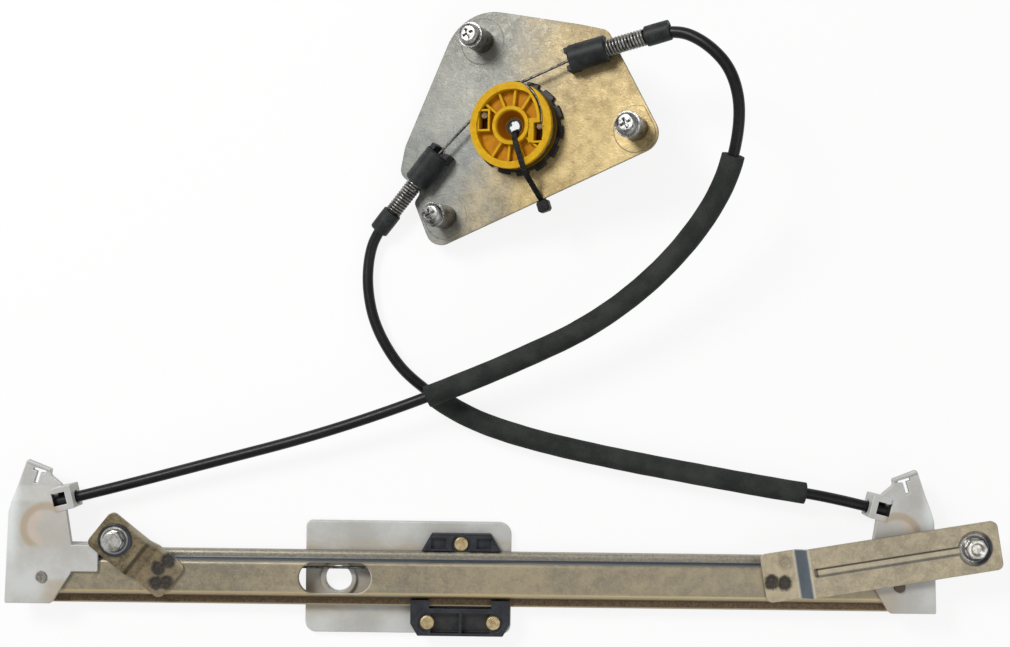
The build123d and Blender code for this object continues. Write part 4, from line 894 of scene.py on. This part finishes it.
for name, (bolt, _, _) in BRACKETS.items():
    plating = plated_zinc(name + "_bolt_zinc", *BOLT_TONES)
    x, y, _ = plating.axes()
    away = ((x - bolt[0]) ** 2.0 + (y - bolt[1]) ** 2.0) ** 0.5
    head, flange = BOLT_RINGS[name]
    # painted light round each bolt: a highlight on the flange, shade at the head's foot and beyond the
    # flange
    plating.cover(away.band(head + 0.0006, 0.0004, 0.0004) * 0.6, FLANGE_HIGHLIGHT)
    plating.cover(away.rise(flange - 0.0003, flange + 0.0003) * 0.94, WASHER_SHADE)
    plating.cover(away.band(head, 0.0002, 0.0007) * 0.75, HEAD_FOOT_SHADE)
    shady = (x - bolt[0] - (y - bolt[1])).rise(-0.004, 0.009) * away.rise(0.0030, 0.0060)
    plating.cover(shady * 0.45, BOLT_SHADE)
    plating.paint(name + "_bracket_bolt", name + "_bracket_nut")
    if name == "short":
        plating.paint("short_bracket_washer")

# ================================================================ drum plate
# Flat plate cut from 2 mm galvanised sheet that carries the drum and, later, the motor. It
# leans, its right side up. The zinc shows flecked crystals, greyer at the left, with a
# painted warm reflection at the right.
PLATE_AT = (0.0078, 0.1049, 0.0274)
PLATE_TILT = math.radians(20.5)
PLATE_SPANGLE = 0.0022
PLATE_COOL = ((0.160, 0.172, 0.164), (0.300, 0.295, 0.262))
PLATE_WARM_REFLECTION = ((0.215, 0.155, 0.066), (0.490, 0.375, 0.180))
# painted highlight on the plate's rounded edges
PLATE_EDGE_HIGHLIGHT = (0.0005, 0.4, (0.400, 0.380, 0.310))
FAR_SHADE = (0.115, 0.102, 0.078)
PAD_WALL_HIGHLIGHT = (0.480, 0.440, 0.340)
CUT_EDGE = (0.060, 0.045, 0.026)
on_plate = Matrix.Translation(PLATE_AT) @ Matrix.Rotation(-PLATE_TILT, 4, "Y")

plate_zinc = Finish("plate_zinc", metallic=0.6, specular_ior_level=0.5)
local = plate_zinc.turned(on_plate)
x, y, z = plate_zinc.axes(local)
cool, flecks, grain = zinc(plate_zinc, PLATE_SPANGLE, *PLATE_COOL, local)
warm, _, _ = zinc(plate_zinc, PLATE_SPANGLE, *PLATE_WARM_REFLECTION, local)
blotches = plate_zinc.noise(0.022, 4.0, 0.6, local)
# painted warm reflection, stronger to the right and lower down
warm_reflection = (x * 14.0 - y * 5.0 + blotches * 1.2).rise(0.10, 0.98)
plate_zinc.colour = plate_zinc.mix(warm_reflection, cool, warm)
rough = 0.34 + grain * 0.14 + flecks * 0.12
plate_zinc.surface(rough, grain + flecks * 0.5, 0.00007, PLATE_EDGE_HIGHLIGHT)
plate_zinc.cover(y.rise(-0.005, 0.055) * 0.40, FAR_SHADE)
# painted light on the low walls of the bosses round the stand-offs, against their shading
plate_zinc.cover(z.band(0.0002, 0.00016, 0.00003) * 0.75, PAD_WALL_HIGHLIGHT)
plate_zinc.cover(z.rise(-0.0003, -0.0007) * 0.7, CUT_EDGE)
plate_zinc.paint("drum_plate")

# ================================================================ stand-offs and screws
# Three turned steel stand-offs hold the motor off the plate, with a pan-head screw through
# each. Bright plating, with a painted brown reflection of the plate at the foot.
STANDOFF_TOP = 0.0174
STANDOFF_TONES = ((0.060, 0.056, 0.050), (0.400, 0.398, 0.380))
STANDOFF_FOOT_REFLECTION = (0.105, 0.074, 0.038)

for node, foot_share in (("plate_standoffs", 0.80), ("plate_screws", 0.0)):
    plating = plated_zinc(node + "_zinc", *STANDOFF_TONES)
    height = plating.axes(plating.turned(on_plate))[2]
    plating.cover(height.rise(STANDOFF_TOP - 0.003, 0.002) * foot_share, STANDOFF_FOOT_REFLECTION)
    plating.paint(node)

# ================================================================ bearing ring
# Black acetal ring clipped in the plate's hole, with hooked teeth round its edge that the
# motor's housing locks to. Glossy, with a little grease and dust.
RING_TEETH = 14
PITCH_STEPS = 24
TOOTH_HEIGHT = 0.0020
TOOTH_SHARE = 0.62
TOOTH_FALL = 0.35
FIRST_TOOTH = 0.44
PLAIN_FROM = 5
PLAIN_TO = 7
RING_TONES = ((0.006, 0.005, 0.005), (0.024, 0.019, 0.015))
# painted glints on the ring's edges and teeth
RING_EDGE_GLINT = (0.0004, 0.35, (0.090, 0.080, 0.070))
RING_PROFILE = (
    (0.0140, -0.0036),
    (0.0163, -0.0036),
    (0.0163, 0.0000),
    (0.0236, 0.0000),
    (0.0236, 0.0020),
    (0.0233, 0.0024),
    (0.0228, 0.0026),
    (0.0140, 0.0026),
)
RING_TOOTHED = [3, 4, 5]  # points of the profile that the teeth push out
SHARP = math.radians(32)


def placed(points, matrix):
    """Points moved into the frame that the matrix stands for."""
    points = np.asarray(points, float)
    return points @ np.array(matrix.to_3x3()).T + np.array(matrix.translation)


ring_black = mottled(
    "ring_black", (0.0032, 4.0, 0.6), (0.35, 0.7), RING_TONES, (0.30, 0.30), 0.00010, RING_EDGE_GLINT,
    specular_ior_level=0.30,
)


def lathe(name, profile, matrix, sides, reach=0):
    """A closed profile of (radius, height) turned about the matrix's Z axis.

    reach is what each side adds to the radii: an array of (points, sides).
    """
    profile = np.array(profile)
    angle = np.linspace(0, 2 * np.pi, sides, endpoint=False)
    radius = np.repeat(profile[:, :1], sides, axis=1) + reach
    height = np.repeat(profile[:, 1:], sides, axis=1)
    grid = np.stack([radius * np.cos(angle), radius * np.sin(angle), height], axis=-1)
    made = new_piece(name, placed(grid, matrix), grid_faces(len(profile), sides, ring_rows=True))
    made.data.set_sharp_from_angle(angle=SHARP)
    return made


# Each tooth rises at once and falls off slowly: height x (1 - fall x share of the way round
# its pitch). Between the first and last plain pitch the ring has none.
turn = np.arange(RING_TEETH * PITCH_STEPS) / PITCH_STEPS - FIRST_TOOTH
number = np.floor(turn)
way = turn - number
plain = (number >= PLAIN_FROM) & (number <= PLAIN_TO)
tooth = np.where((way < TOOTH_SHARE) & ~plain, 1.0 - TOOTH_FALL * way, 0.0) * TOOTH_HEIGHT
toothed = np.zeros((len(RING_PROFILE), len(way)))
toothed[RING_TOOTHED] = tooth
ring = lathe("bearing_ring", RING_PROFILE, on_plate, len(way), toothed)
fit(ring, ring_black, "root", "drum_bearing_ring")

# ================================================================ cable drum
# Glass-filled nylon drum, moulded in yellow: a recessed face with ribs from hub to rim, two
# pockets for the wire's ends, and a channel that leads the upper wire to its pocket.
YELLOW_TONES = ((0.530, 0.285, 0.003), (0.640, 0.375, 0.006))
FLOOR_SHADE_TONES = ((0.430, 0.165, 0.001), (0.540, 0.235, 0.002))
WELL_SHADE = (0.235, 0.066, 0.001)
POCKET_SHADE = (0.075, 0.024, 0.002)
FLANK_SHADE = (0.085, 0.038, 0.004)
# painted highlight on the drum's rounded edges
YELLOW_EDGE_HIGHLIGHT = (0.660, 0.400, 0.014)
FACE_RADIUS = (0.0198, 0.0190)
FLOOR_Z = (0.0119, 0.0098)
WELL_RADIUS = (0.0094, 0.0080)
WELL_Z = (0.0142, 0.0128)
POCKET_FLOOR_Z = (0.0088, 0.0078)
FLANK_RADIUS = (0.0195, 0.0205)
FLANK_Z = (0.0124, 0.0112)

drum_yellow = Finish("drum_yellow", specular_ior_level=0.12)
x, y, z = drum_yellow.axes(drum_yellow.turned(on_plate))
radius = (x * x + y * y) ** 0.5
speckle = drum_yellow.noise(0.0016, 4.0, 0.6)
drum_yellow.colour = drum_yellow.mix(speckle.rise(0.3, 0.72), *YELLOW_TONES)
# painted shade: the face's floor, the well round the hub and the wire pockets are darkened where deep
inside = radius.rise(*FACE_RADIUS)
floor = drum_yellow.mix(speckle.rise(0.3, 0.7), *FLOOR_SHADE_TONES)
drum_yellow.cover(inside * z.rise(*FLOOR_Z), floor)
drum_yellow.cover(radius.rise(*WELL_RADIUS) * z.rise(*WELL_Z), WELL_SHADE)
drum_yellow.cover(inside * z.rise(*POCKET_FLOOR_Z), POCKET_SHADE)
flank = radius.rise(*FLANK_RADIUS) * z.rise(*FLANK_Z)
drum_yellow.cover(flank * 0.85, FLANK_SHADE)
edge = (0.0005, 0.5 * (1.0 - flank), YELLOW_EDGE_HIGHLIGHT)
drum_yellow.surface(0.46 + speckle * 0.18, speckle, 0.00012, edge)
drum_yellow.paint("cable_drum")

# ================================================================ drive bush
# Black bush pressed in the drum; its splined socket takes the motor's shaft from behind, and
# a short open neck at the top lets the light through.
BUSH_SPLINES = 12
SPLINE_STEPS = 12
SPLINE_DEPTH = 0.0008
BUSH_PROFILE = (
    (0.0062, -0.0018),
    (0.0079, -0.0018),
    (0.0079, 0.0052),
    (0.0045, 0.0056),
    (0.0045, 0.0083),
    (0.0042, 0.0087),
    (0.0034, 0.0087),
    (0.0031, 0.0084),
    (0.0031, 0.0066),
    (0.0058, 0.0062),
)
BUSH_SPLINED = [0, 9]  # points of the profile on the socket's wall

# Over half of each pitch a spline stands in from the socket's wall.
way = np.arange(BUSH_SPLINES * SPLINE_STEPS) / SPLINE_STEPS % 1.0
splines = np.zeros((len(BUSH_PROFILE), len(way)))
splines[BUSH_SPLINED] = -SPLINE_DEPTH * (way < 0.5)
bush = lathe("drive_bush", BUSH_PROFILE, on_plate, len(way), splines)
fit(bush, ring_black, "drum", "drum_drive_insert")

# ================================================================ wound wire and its ends
# The wire lies side by side in the drum's grooves. At the top it runs in the face's channel to
# a brass nipple, pulled down in its pocket; the other end sits in the opposite pocket.
WIND_RADIUS = 0.0209
WIND_LOW = 0.00510
WIND_HIGH = 0.01110
WIND_TURNS = 4.0
WIND_STEPS = 420
LEAD_STEPS = 30
LEAD_START = (0.0054, 0.0221)
LEAD_MIDDLE = (0.0142, 0.0140)
LEAD_END = (0.01655, 0.0006)
LEAD_HEIGHT = 0.0121
NIPPLE_SHADED_TONES = ((0.045, 0.024, 0.008), (0.200, 0.130, 0.060))


def arc_through(a, b, c, count):
    """Points on the circle through three points of a plane, from a to c."""
    (ax, ay), (bx, by), (cx, cy) = a, b, c
    left = np.array([[bx - ax, by - ay], [cx - bx, cy - by]])
    right = np.array([bx**2 - ax**2 + by**2 - ay**2, cx**2 - bx**2 + cy**2 - by**2]) / 2
    centre = np.linalg.solve(left, right)
    first, last = (math.atan2(p[1] - centre[1], p[0] - centre[0]) for p in (a, c))
    turn = np.linspace(first, last, count)
    reach = math.dist(a, centre)
    return centre + reach * np.stack([np.cos(turn), np.sin(turn)], axis=1)


# The winding is a helix: (r cos a, r sin a), its height rising evenly with the turn.
turn = np.linspace(0, 2 * np.pi * WIND_TURNS, WIND_STEPS)
height = WIND_LOW + (WIND_HIGH - WIND_LOW) * turn / turn[-1]
coil = np.stack([WIND_RADIUS * np.cos(turn), WIND_RADIUS * np.sin(turn), height], axis=1)
winding = rope("drum_winding_rope", placed(coil, on_plate), up=on_plate.col[2].xyz)
lead = arc_through(LEAD_START, LEAD_MIDDLE, LEAD_END, LEAD_STEPS)
lead = np.c_[lead, np.full(len(lead), LEAD_HEIGHT)]
lead_rope = rope("drum_lead_rope", placed(lead, on_plate), up=on_plate.col[2].xyz)
fit(winding, rope_steel, "drum", "drum_winding")
fit(lead_rope, rope_steel, "drum")

# the nipples' dark tones are the painted shade of the pockets they lie in
nipple_in_shade = mottled(
    "nipple_in_shade", (0.0009, 3.0, 0.6), (0.35, 0.7), NIPPLE_SHADED_TONES, (0.40, 0.25), 0.00006,
    metallic=0.6, specular_ior_level=0.4,
)
nipple_in_shade.paint("drum_cable_nipples")

# ================================================================ cable sockets and ferrules
# Black plastic sockets clipped to the plate take the springs. The ferrules cap the conduits
# and bear on the springs, which ride on their necks. Matt with a bluish bloom from handling.
SEATS = {"upper": (0.0306, 0.0346, 12.5), "lower": (-0.0440, -0.0126, 229.4)}
SEAT_HEIGHT = 0.0072
FERRULE_SIDES = 64
SOCKET_TONES = ((0.008, 0.009, 0.009), (0.036, 0.041, 0.042))
# painted highlight on the rounded edges
SOCKET_EDGE_HIGHLIGHT = (0.0005, 0.35, (0.075, 0.085, 0.092))
FERRULE_PROFILE = (
    (0.00120, 0.0252),
    (0.00250, 0.0252),
    (0.00270, 0.0256),
    (0.00270, 0.0418),
    (0.00500, 0.0418),
    (0.00530, 0.0422),
    (0.00535, 0.0470),
    (0.00525, 0.0544),
    (0.00490, 0.0548),
    (0.00315, 0.0548),
    (0.00315, 0.0440),
    (0.00120, 0.0440),
)


def along_seat(name):
    """The frame of a socket: X out along the cable, Z up from the plate."""
    x, y, degrees = SEATS[name]
    turn = Matrix.Rotation(math.radians(degrees), 4, "Z")
    return on_plate @ Matrix.Translation((x, y, SEAT_HEIGHT)) @ turn


socket_black = Finish("socket_black", specular_ior_level=0.30)
bloom = socket_black.noise(0.0045, 4.0, 0.62)
scuff = socket_black.noise(0.0007, 2.0, 0.6)
socket_black.colour = socket_black.mix((bloom * 0.8 + scuff * 0.25).rise(0.40, 0.74), *SOCKET_TONES)
socket_black.surface(0.40 + bloom * 0.25, bloom * 0.5 + scuff * 0.5, 0.00012, SOCKET_EDGE_HIGHLIGHT)
socket_black.paint("upper_cable_socket", "lower_cable_socket")
for name in SEATS:
    outward = along_seat(name) @ Matrix.Rotation(math.pi / 2, 4, "Y")
    ferrule = lathe(name + "_ferrule_tube", FERRULE_PROFILE, outward, FERRULE_SIDES)
    fit(ferrule, socket_black, name + "_ferrule", name + "_conduit_ferrule")

# ================================================================ tension springs
# Compression springs of 1.4 mm spring wire between socket and ferrule keep the wire tight.
# Thirteen coils, the end coils closed. They shorten as the ferrule is pushed in by up to 4 mm.
SPRING_FROM = 0.0190
SPRING_TO = 0.0418
SPRING_WIRE = 0.00072
SPRING_MEAN = 0.00380
SPRING_TURNS = 13
SPRING_STEPS = 28
SPRING_SIDES = 12
SPRING_TONES = ((0.110, 0.104, 0.095), (0.370, 0.362, 0.340))

spring_steel = mottled(
    "spring_steel", (0.0015, 3.0), (0.3, 0.7), SPRING_TONES, (0.24, 0.18), 0.00003,
    metallic=0.9, specular_ior_level=0.5,
)

# A helix whose first and last turn climb by one wire's thickness; the others share the rest.
for name in SEATS:
    seat = along_seat(name)
    turn = np.linspace(0, SPRING_TURNS, SPRING_TURNS * SPRING_STEPS)
    knots = [0, 1, SPRING_TURNS - 1, SPRING_TURNS]
    closed = 2 * SPRING_WIRE
    stops = [SPRING_FROM, SPRING_FROM + closed, SPRING_TO - closed, SPRING_TO]
    reach = np.interp(turn, knots, stops) + SPRING_WIRE * (1 - 2 * turn / SPRING_TURNS)
    angle = 2 * np.pi * turn
    coil = np.stack([reach, SPRING_MEAN * np.cos(angle), SPRING_MEAN * np.sin(angle)], axis=1)
    grid = tube_grid(placed(coil, seat), SPRING_WIRE, SPRING_SIDES, up=seat.col[0].xyz)
    spring = closed_tube(name + "_spring_coil", grid)
    fit(spring, spring_steel, "root", name + "_tension_spring")
    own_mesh(spring)

# ================================================================ wires at the drum
# From each socket's mouth the wire rope runs straight to the drum, where it closes on the
# winding. It is bare here, and taut.
TOUCH = {"upper": 111.6, "lower": 133.2}  # where it meets the winding, in degrees
INSIDE = 0.0040

for name, degrees in TOUCH.items():
    seat = along_seat(name)
    angle = math.radians(degrees)
    on_winding = (WIND_RADIUS * math.cos(angle), WIND_RADIUS * math.sin(angle), SEAT_HEIGHT)
    line = np.array([seat @ Vector((INSIDE, 0, 0)), on_plate @ Vector(on_winding)])
    wire = rope(name + "_drum_rope", line, up=on_plate.col[2].xyz)
    fit(wire, rope_steel, "root", name + "_drum_wire")

# ================================================================ conduits
# Two smooth black plastic conduits of 6 mm that the wire slides in, cut to length. Each is
# held at both ends, in its ferrule at the drum and in its guide at the rail.
CONDUIT_RADIUS = 0.003
UPPER_ROUTE = (
    (0.0733, 0.1488, 0.0596),
    (0.0861, 0.1518, 0.0643),
    (0.1018, 0.1436, 0.0710),
    (0.1154, 0.1282, 0.0730),
    (0.1202, 0.1040, 0.0695),
    (0.1134, 0.0688, 0.0570),
    (0.0869, 0.0310, 0.0430),
    (0.0490, -0.0004, 0.0330),
    (0.0043, -0.0216, 0.0270),
    (-0.0196, -0.0319, 0.0245),
    (-0.0590, -0.0477, 0.0210),
    (-0.1046, -0.0633, 0.0170),
    (-0.1557, -0.0773, 0.0140),
    (-0.2148, -0.0936, 0.0120),
    (-0.2441, -0.1009, 0.0120),
)
LOWER_ROUTE = (
    (-0.0621, 0.0597, 0.0089),
    (-0.0707, 0.0490, 0.0057),
    (-0.0749, 0.0357, 0.0042),
    (-0.0754, 0.0181, 0.0048),
    (-0.0710, -0.0016, 0.0058),
    (-0.0601, -0.0207, 0.0066),
    (-0.0483, -0.0329, 0.0072),
    (-0.0212, -0.0516, 0.0080),
    (0.0134, -0.0632, 0.0090),
    (0.0590, -0.0731, 0.0100),
    (0.1070, -0.0816, 0.0108),
    (0.1516, -0.0891, 0.0115),
    (0.1834, -0.0936, 0.0120),
    (0.2127, -0.1009, 0.0120),
)
ROUTES = {"upper": UPPER_ROUTE, "lower": LOWER_ROUTE}
CONDUIT_TONES = ((0.002, 0.002, 0.003), (0.009, 0.008, 0.010))


def spline_curve(name, route, radius):
    """A smooth line with the route's points as its control points, as thick as radius says."""
    curve = bpy.data.curves.new(name, "CURVE")
    curve.dimensions = "3D"
    curve.resolution_u = 12
    line = curve.splines.new("NURBS")
    line.points.add(len(route) - 1)
    line.points.foreach_set("co", np.c_[np.array(route), np.ones(len(route))].ravel())
    line.order_u = 3
    line.use_endpoint_u = True
    curve.bevel_depth = radius
    curve.bevel_resolution = 6
    curve.use_fill_caps = True
    made = bpy.data.objects.new(name, curve)
    scene.collection.objects.link(made)
    return made


conduit_black = Finish("conduit_black", specular_ior_level=0.30)
scuffs = conduit_black.noise(0.0020, 4.0, 0.6)
dust = conduit_black.noise(0.012, 3.0, 0.6)
conduit_black.colour = conduit_black.mix((scuffs * 0.5 + dust * 0.6).rise(0.42, 0.78), *CONDUIT_TONES)
conduit_black.surface(0.30 + scuffs * 0.20, scuffs, 0.00006)

for side, route in ROUTES.items():
    conduit = spline_curve(side + "_conduit_hose", route, CONDUIT_RADIUS)
    fit(conduit, conduit_black, "root", side + "_conduit")

# ================================================================ foam sleeves
# Closed-cell foam tube pushed over each conduit against rattles, 12 mm outside. It is cut
# square with a knife, so its ends show the foam's wall round the conduit.
SLEEVE_RADIUS = 0.0060
SLEEVE_BORE = 0.0031
SLEEVE_LIP = 0.0005
SLEEVE_ENDS = {
    "upper": ((0.1168, 0.0864, 0.06325), (-0.0393, -0.0398, 0.02275)),
    "lower": ((-0.03475, -0.04225, 0.0076), (0.1675, -0.09135, 0.01175)),
}
SLEEVE_STEP = 0.0020
SLEEVE_SIDES = 44
SLEEVE_SLACK = 0.00006
SLEEVE_WAVE = 0.00003
FOAM_TONES = ((0.014, 0.016, 0.015), (0.036, 0.040, 0.036))


def spline_points(bare):
    """Points along a smooth line that has no thickness; the line is used up."""
    bpy.context.view_layer.update()
    mesh = bpy.data.meshes.new_from_object(bare)
    points = np.empty(len(mesh.vertices) * 3)
    mesh.vertices.foreach_get("co", points)
    bpy.data.objects.remove(bare)
    bpy.data.meshes.remove(mesh)
    return points.reshape(-1, 3)


def length_to(points, place):
    """Running length at the point of a line that lies nearest to a place."""
    nearest = np.argmin(np.linalg.norm(points - np.array(place), axis=1))
    return length_along(points)[nearest]


foam = Finish("foam_sleeve", specular_ior_level=0.25)
cells = foam.noise(0.00032, 2.0, 0.6)
patches = foam.noise(0.0075, 3.0, 0.6)
foam.colour = foam.mix((patches * 0.7 + cells * 0.4).rise(0.38, 0.74), *FOAM_TONES)
foam.surface(0.72 + cells * 0.2, cells, 0.00022)


def sleeve_grid(line):
    """A tube with a bore: one closed profile, from the outer skin over each lip to the bore.

    Skin radius = r - slack + wave (sin 37 s + sin 91 s), s the share of the way along.
    """
    count = len(line)
    share = np.linspace(0.0, 1.0, count)
    skin = SLEEVE_RADIUS - SLEEVE_SLACK + SLEEVE_WAVE * (np.sin(37 * share) + np.sin(91 * share))
    there = np.arange(count)
    rows = np.concatenate([[0], there, [count - 1] * 2, there[::-1], [0]])
    mouth = SLEEVE_BORE + SLEEVE_LIP
    ends = [skin[-1] - SLEEVE_LIP, mouth]
    bore = np.full(count, SLEEVE_BORE)
    radius = np.concatenate([[skin[0] - SLEEVE_LIP], skin, ends, bore, [mouth]])
    across, upright = carried(line)
    angle = np.linspace(0, 2 * np.pi, SLEEVE_SIDES, endpoint=False)[None, :, None]
    ring = np.cos(angle) * across[rows][:, None, :] + np.sin(angle) * upright[rows][:, None, :]
    return line[rows][:, None, :] + ring * radius[:, None, None]


for side, ends in SLEEVE_ENDS.items():
    whole = spline_points(spline_curve(side, ROUTES[side], 0.0))
    start, end = (length_to(whole, point) for point in ends)
    grid = sleeve_grid(resample(whole, SLEEVE_STEP, start, end))
    faces = grid_faces(len(grid), SLEEVE_SIDES, ring_rows=True)
    sleeve = new_piece(side + "_foam_tube", grid, faces)
    fit(sleeve, foam, "root", side + "_foam_sleeve")

# ================================================================ transport tie
# Black nylon cable tie through the drive bush and round the plate's edge, which keeps the drum
# from unwinding until the motor is fitted. Its ribbed strap is pulled tight in a square head.
TIE_WIDTH = 0.0028
TIE_THICK = 0.0011
TIE_TURN = math.radians(-71.2)
TIE_RIB = 0.0011
TIE_COURSE = (
    (0.0009, -0.0022, -0.0030),
    (0.0009, -0.0022, 0.0060),
    (0.0010, -0.0024, 0.0095),
    (0.0018, -0.0045, 0.0128),
    (0.0030, -0.0080, 0.0152),
    (0.0045, -0.0125, 0.0154),
    (0.0070, -0.0200, 0.0154),
    (0.0084, -0.0244, 0.0150),
    (0.0094, -0.0280, 0.0112),
    (0.0106, -0.0320, 0.0064),
    (0.0124, -0.0370, 0.0016),
    (0.0131, -0.0392, -0.0014),
    (0.0128, -0.0386, -0.0046),
    (0.0110, -0.0330, -0.0054),
    (0.0030, -0.0090, -0.0054),
    (0.0012, -0.0034, -0.0052),
    (0.0009, -0.0022, -0.0040),
)
TIE_HEAD = (0.0142, -0.0418, -0.0009)
TIE_HEAD_HALF = (0.0032, 0.0033, 0.0025)
TIE_CORNER = 0.0011
TIE_BEVEL = 0.86  # the head's end faces, as a share of its middle
TIE_STEP = 0.00025
TIE_TOOTH = 0.00007
TIE_TONES = ((0.003, 0.003, 0.003), (0.014, 0.013, 0.013))

tie_black = mottled(
    "tie_black", (0.0012, 3.0), (0.3, 0.75), TIE_TONES, (0.34, 0.2), 0.00005,
    specular_ior_level=0.16,
)

curve = spline_curve("tie_course", TIE_COURSE, 0.0)
curve.data.splines[0].use_endpoint_u = False
curve.data.splines[0].use_cyclic_u = True
course = spline_points(curve)
line = resample(np.concatenate([course, course[:1]]), TIE_STEP)[:-1]
tangent = np.roll(line, -1, axis=0) - np.roll(line, 1, axis=0)
tangent /= np.linalg.norm(tangent, axis=1)[:, None]
flat = np.array([-math.sin(TIE_TURN), math.cos(TIE_TURN), 0.0])
thick_way = np.cross(tangent, flat)
thick_way /= np.linalg.norm(thick_way, axis=1)[:, None]
# The strap's section is a rectangle on the course; only its outer face is ribbed.
ribs = TIE_TOOTH * np.where(length_along(line) / TIE_RIB % 1.0 < 0.5, 1.0, -1.0)
section = [
    line + thick_way * (a * TIE_THICK / 2 + max(a, 0) * ribs)[:, None] + flat * (b * TIE_WIDTH / 2)
    for a, b in ((-1, -1), (-1, 1), (1, 1), (1, -1))
]
grid = placed(np.stack(section, axis=1), on_plate)
faces = grid_faces(len(line), 4, ring_rows=True)
strap = new_piece("transport_tie_strap", grid, faces, smooth=False)

# The head is a box with cut corners, its end faces drawn in a little.
half_x, half_y, half_z = TIE_HEAD_HALF
cut = TIE_CORNER
plan = [(half_x, half_y - cut), (half_x - cut, half_y)]
plan += [(cut - half_x, half_y), (-half_x, half_y - cut)]
plan = np.array(plan + [(-a, -b) for a, b in plan])
soft_z = half_z - 0.5 * cut
steps = ((TIE_BEVEL, -half_z), (1.0, -soft_z), (1.0, soft_z), (TIE_BEVEL, half_z))
levels = [np.c_[plan * shrink, np.full(len(plan), height)] for shrink, height in steps]
at_head = on_plate @ Matrix.Translation(TIE_HEAD) @ Matrix.Rotation(TIE_TURN, 4, "Z")
head = closed_tube("transport_tie_head", placed(np.stack(levels)[::-1], at_head), smooth=False)
for piece in (strap, head):
    fit(piece, tie_black, "root", "transport_tie")
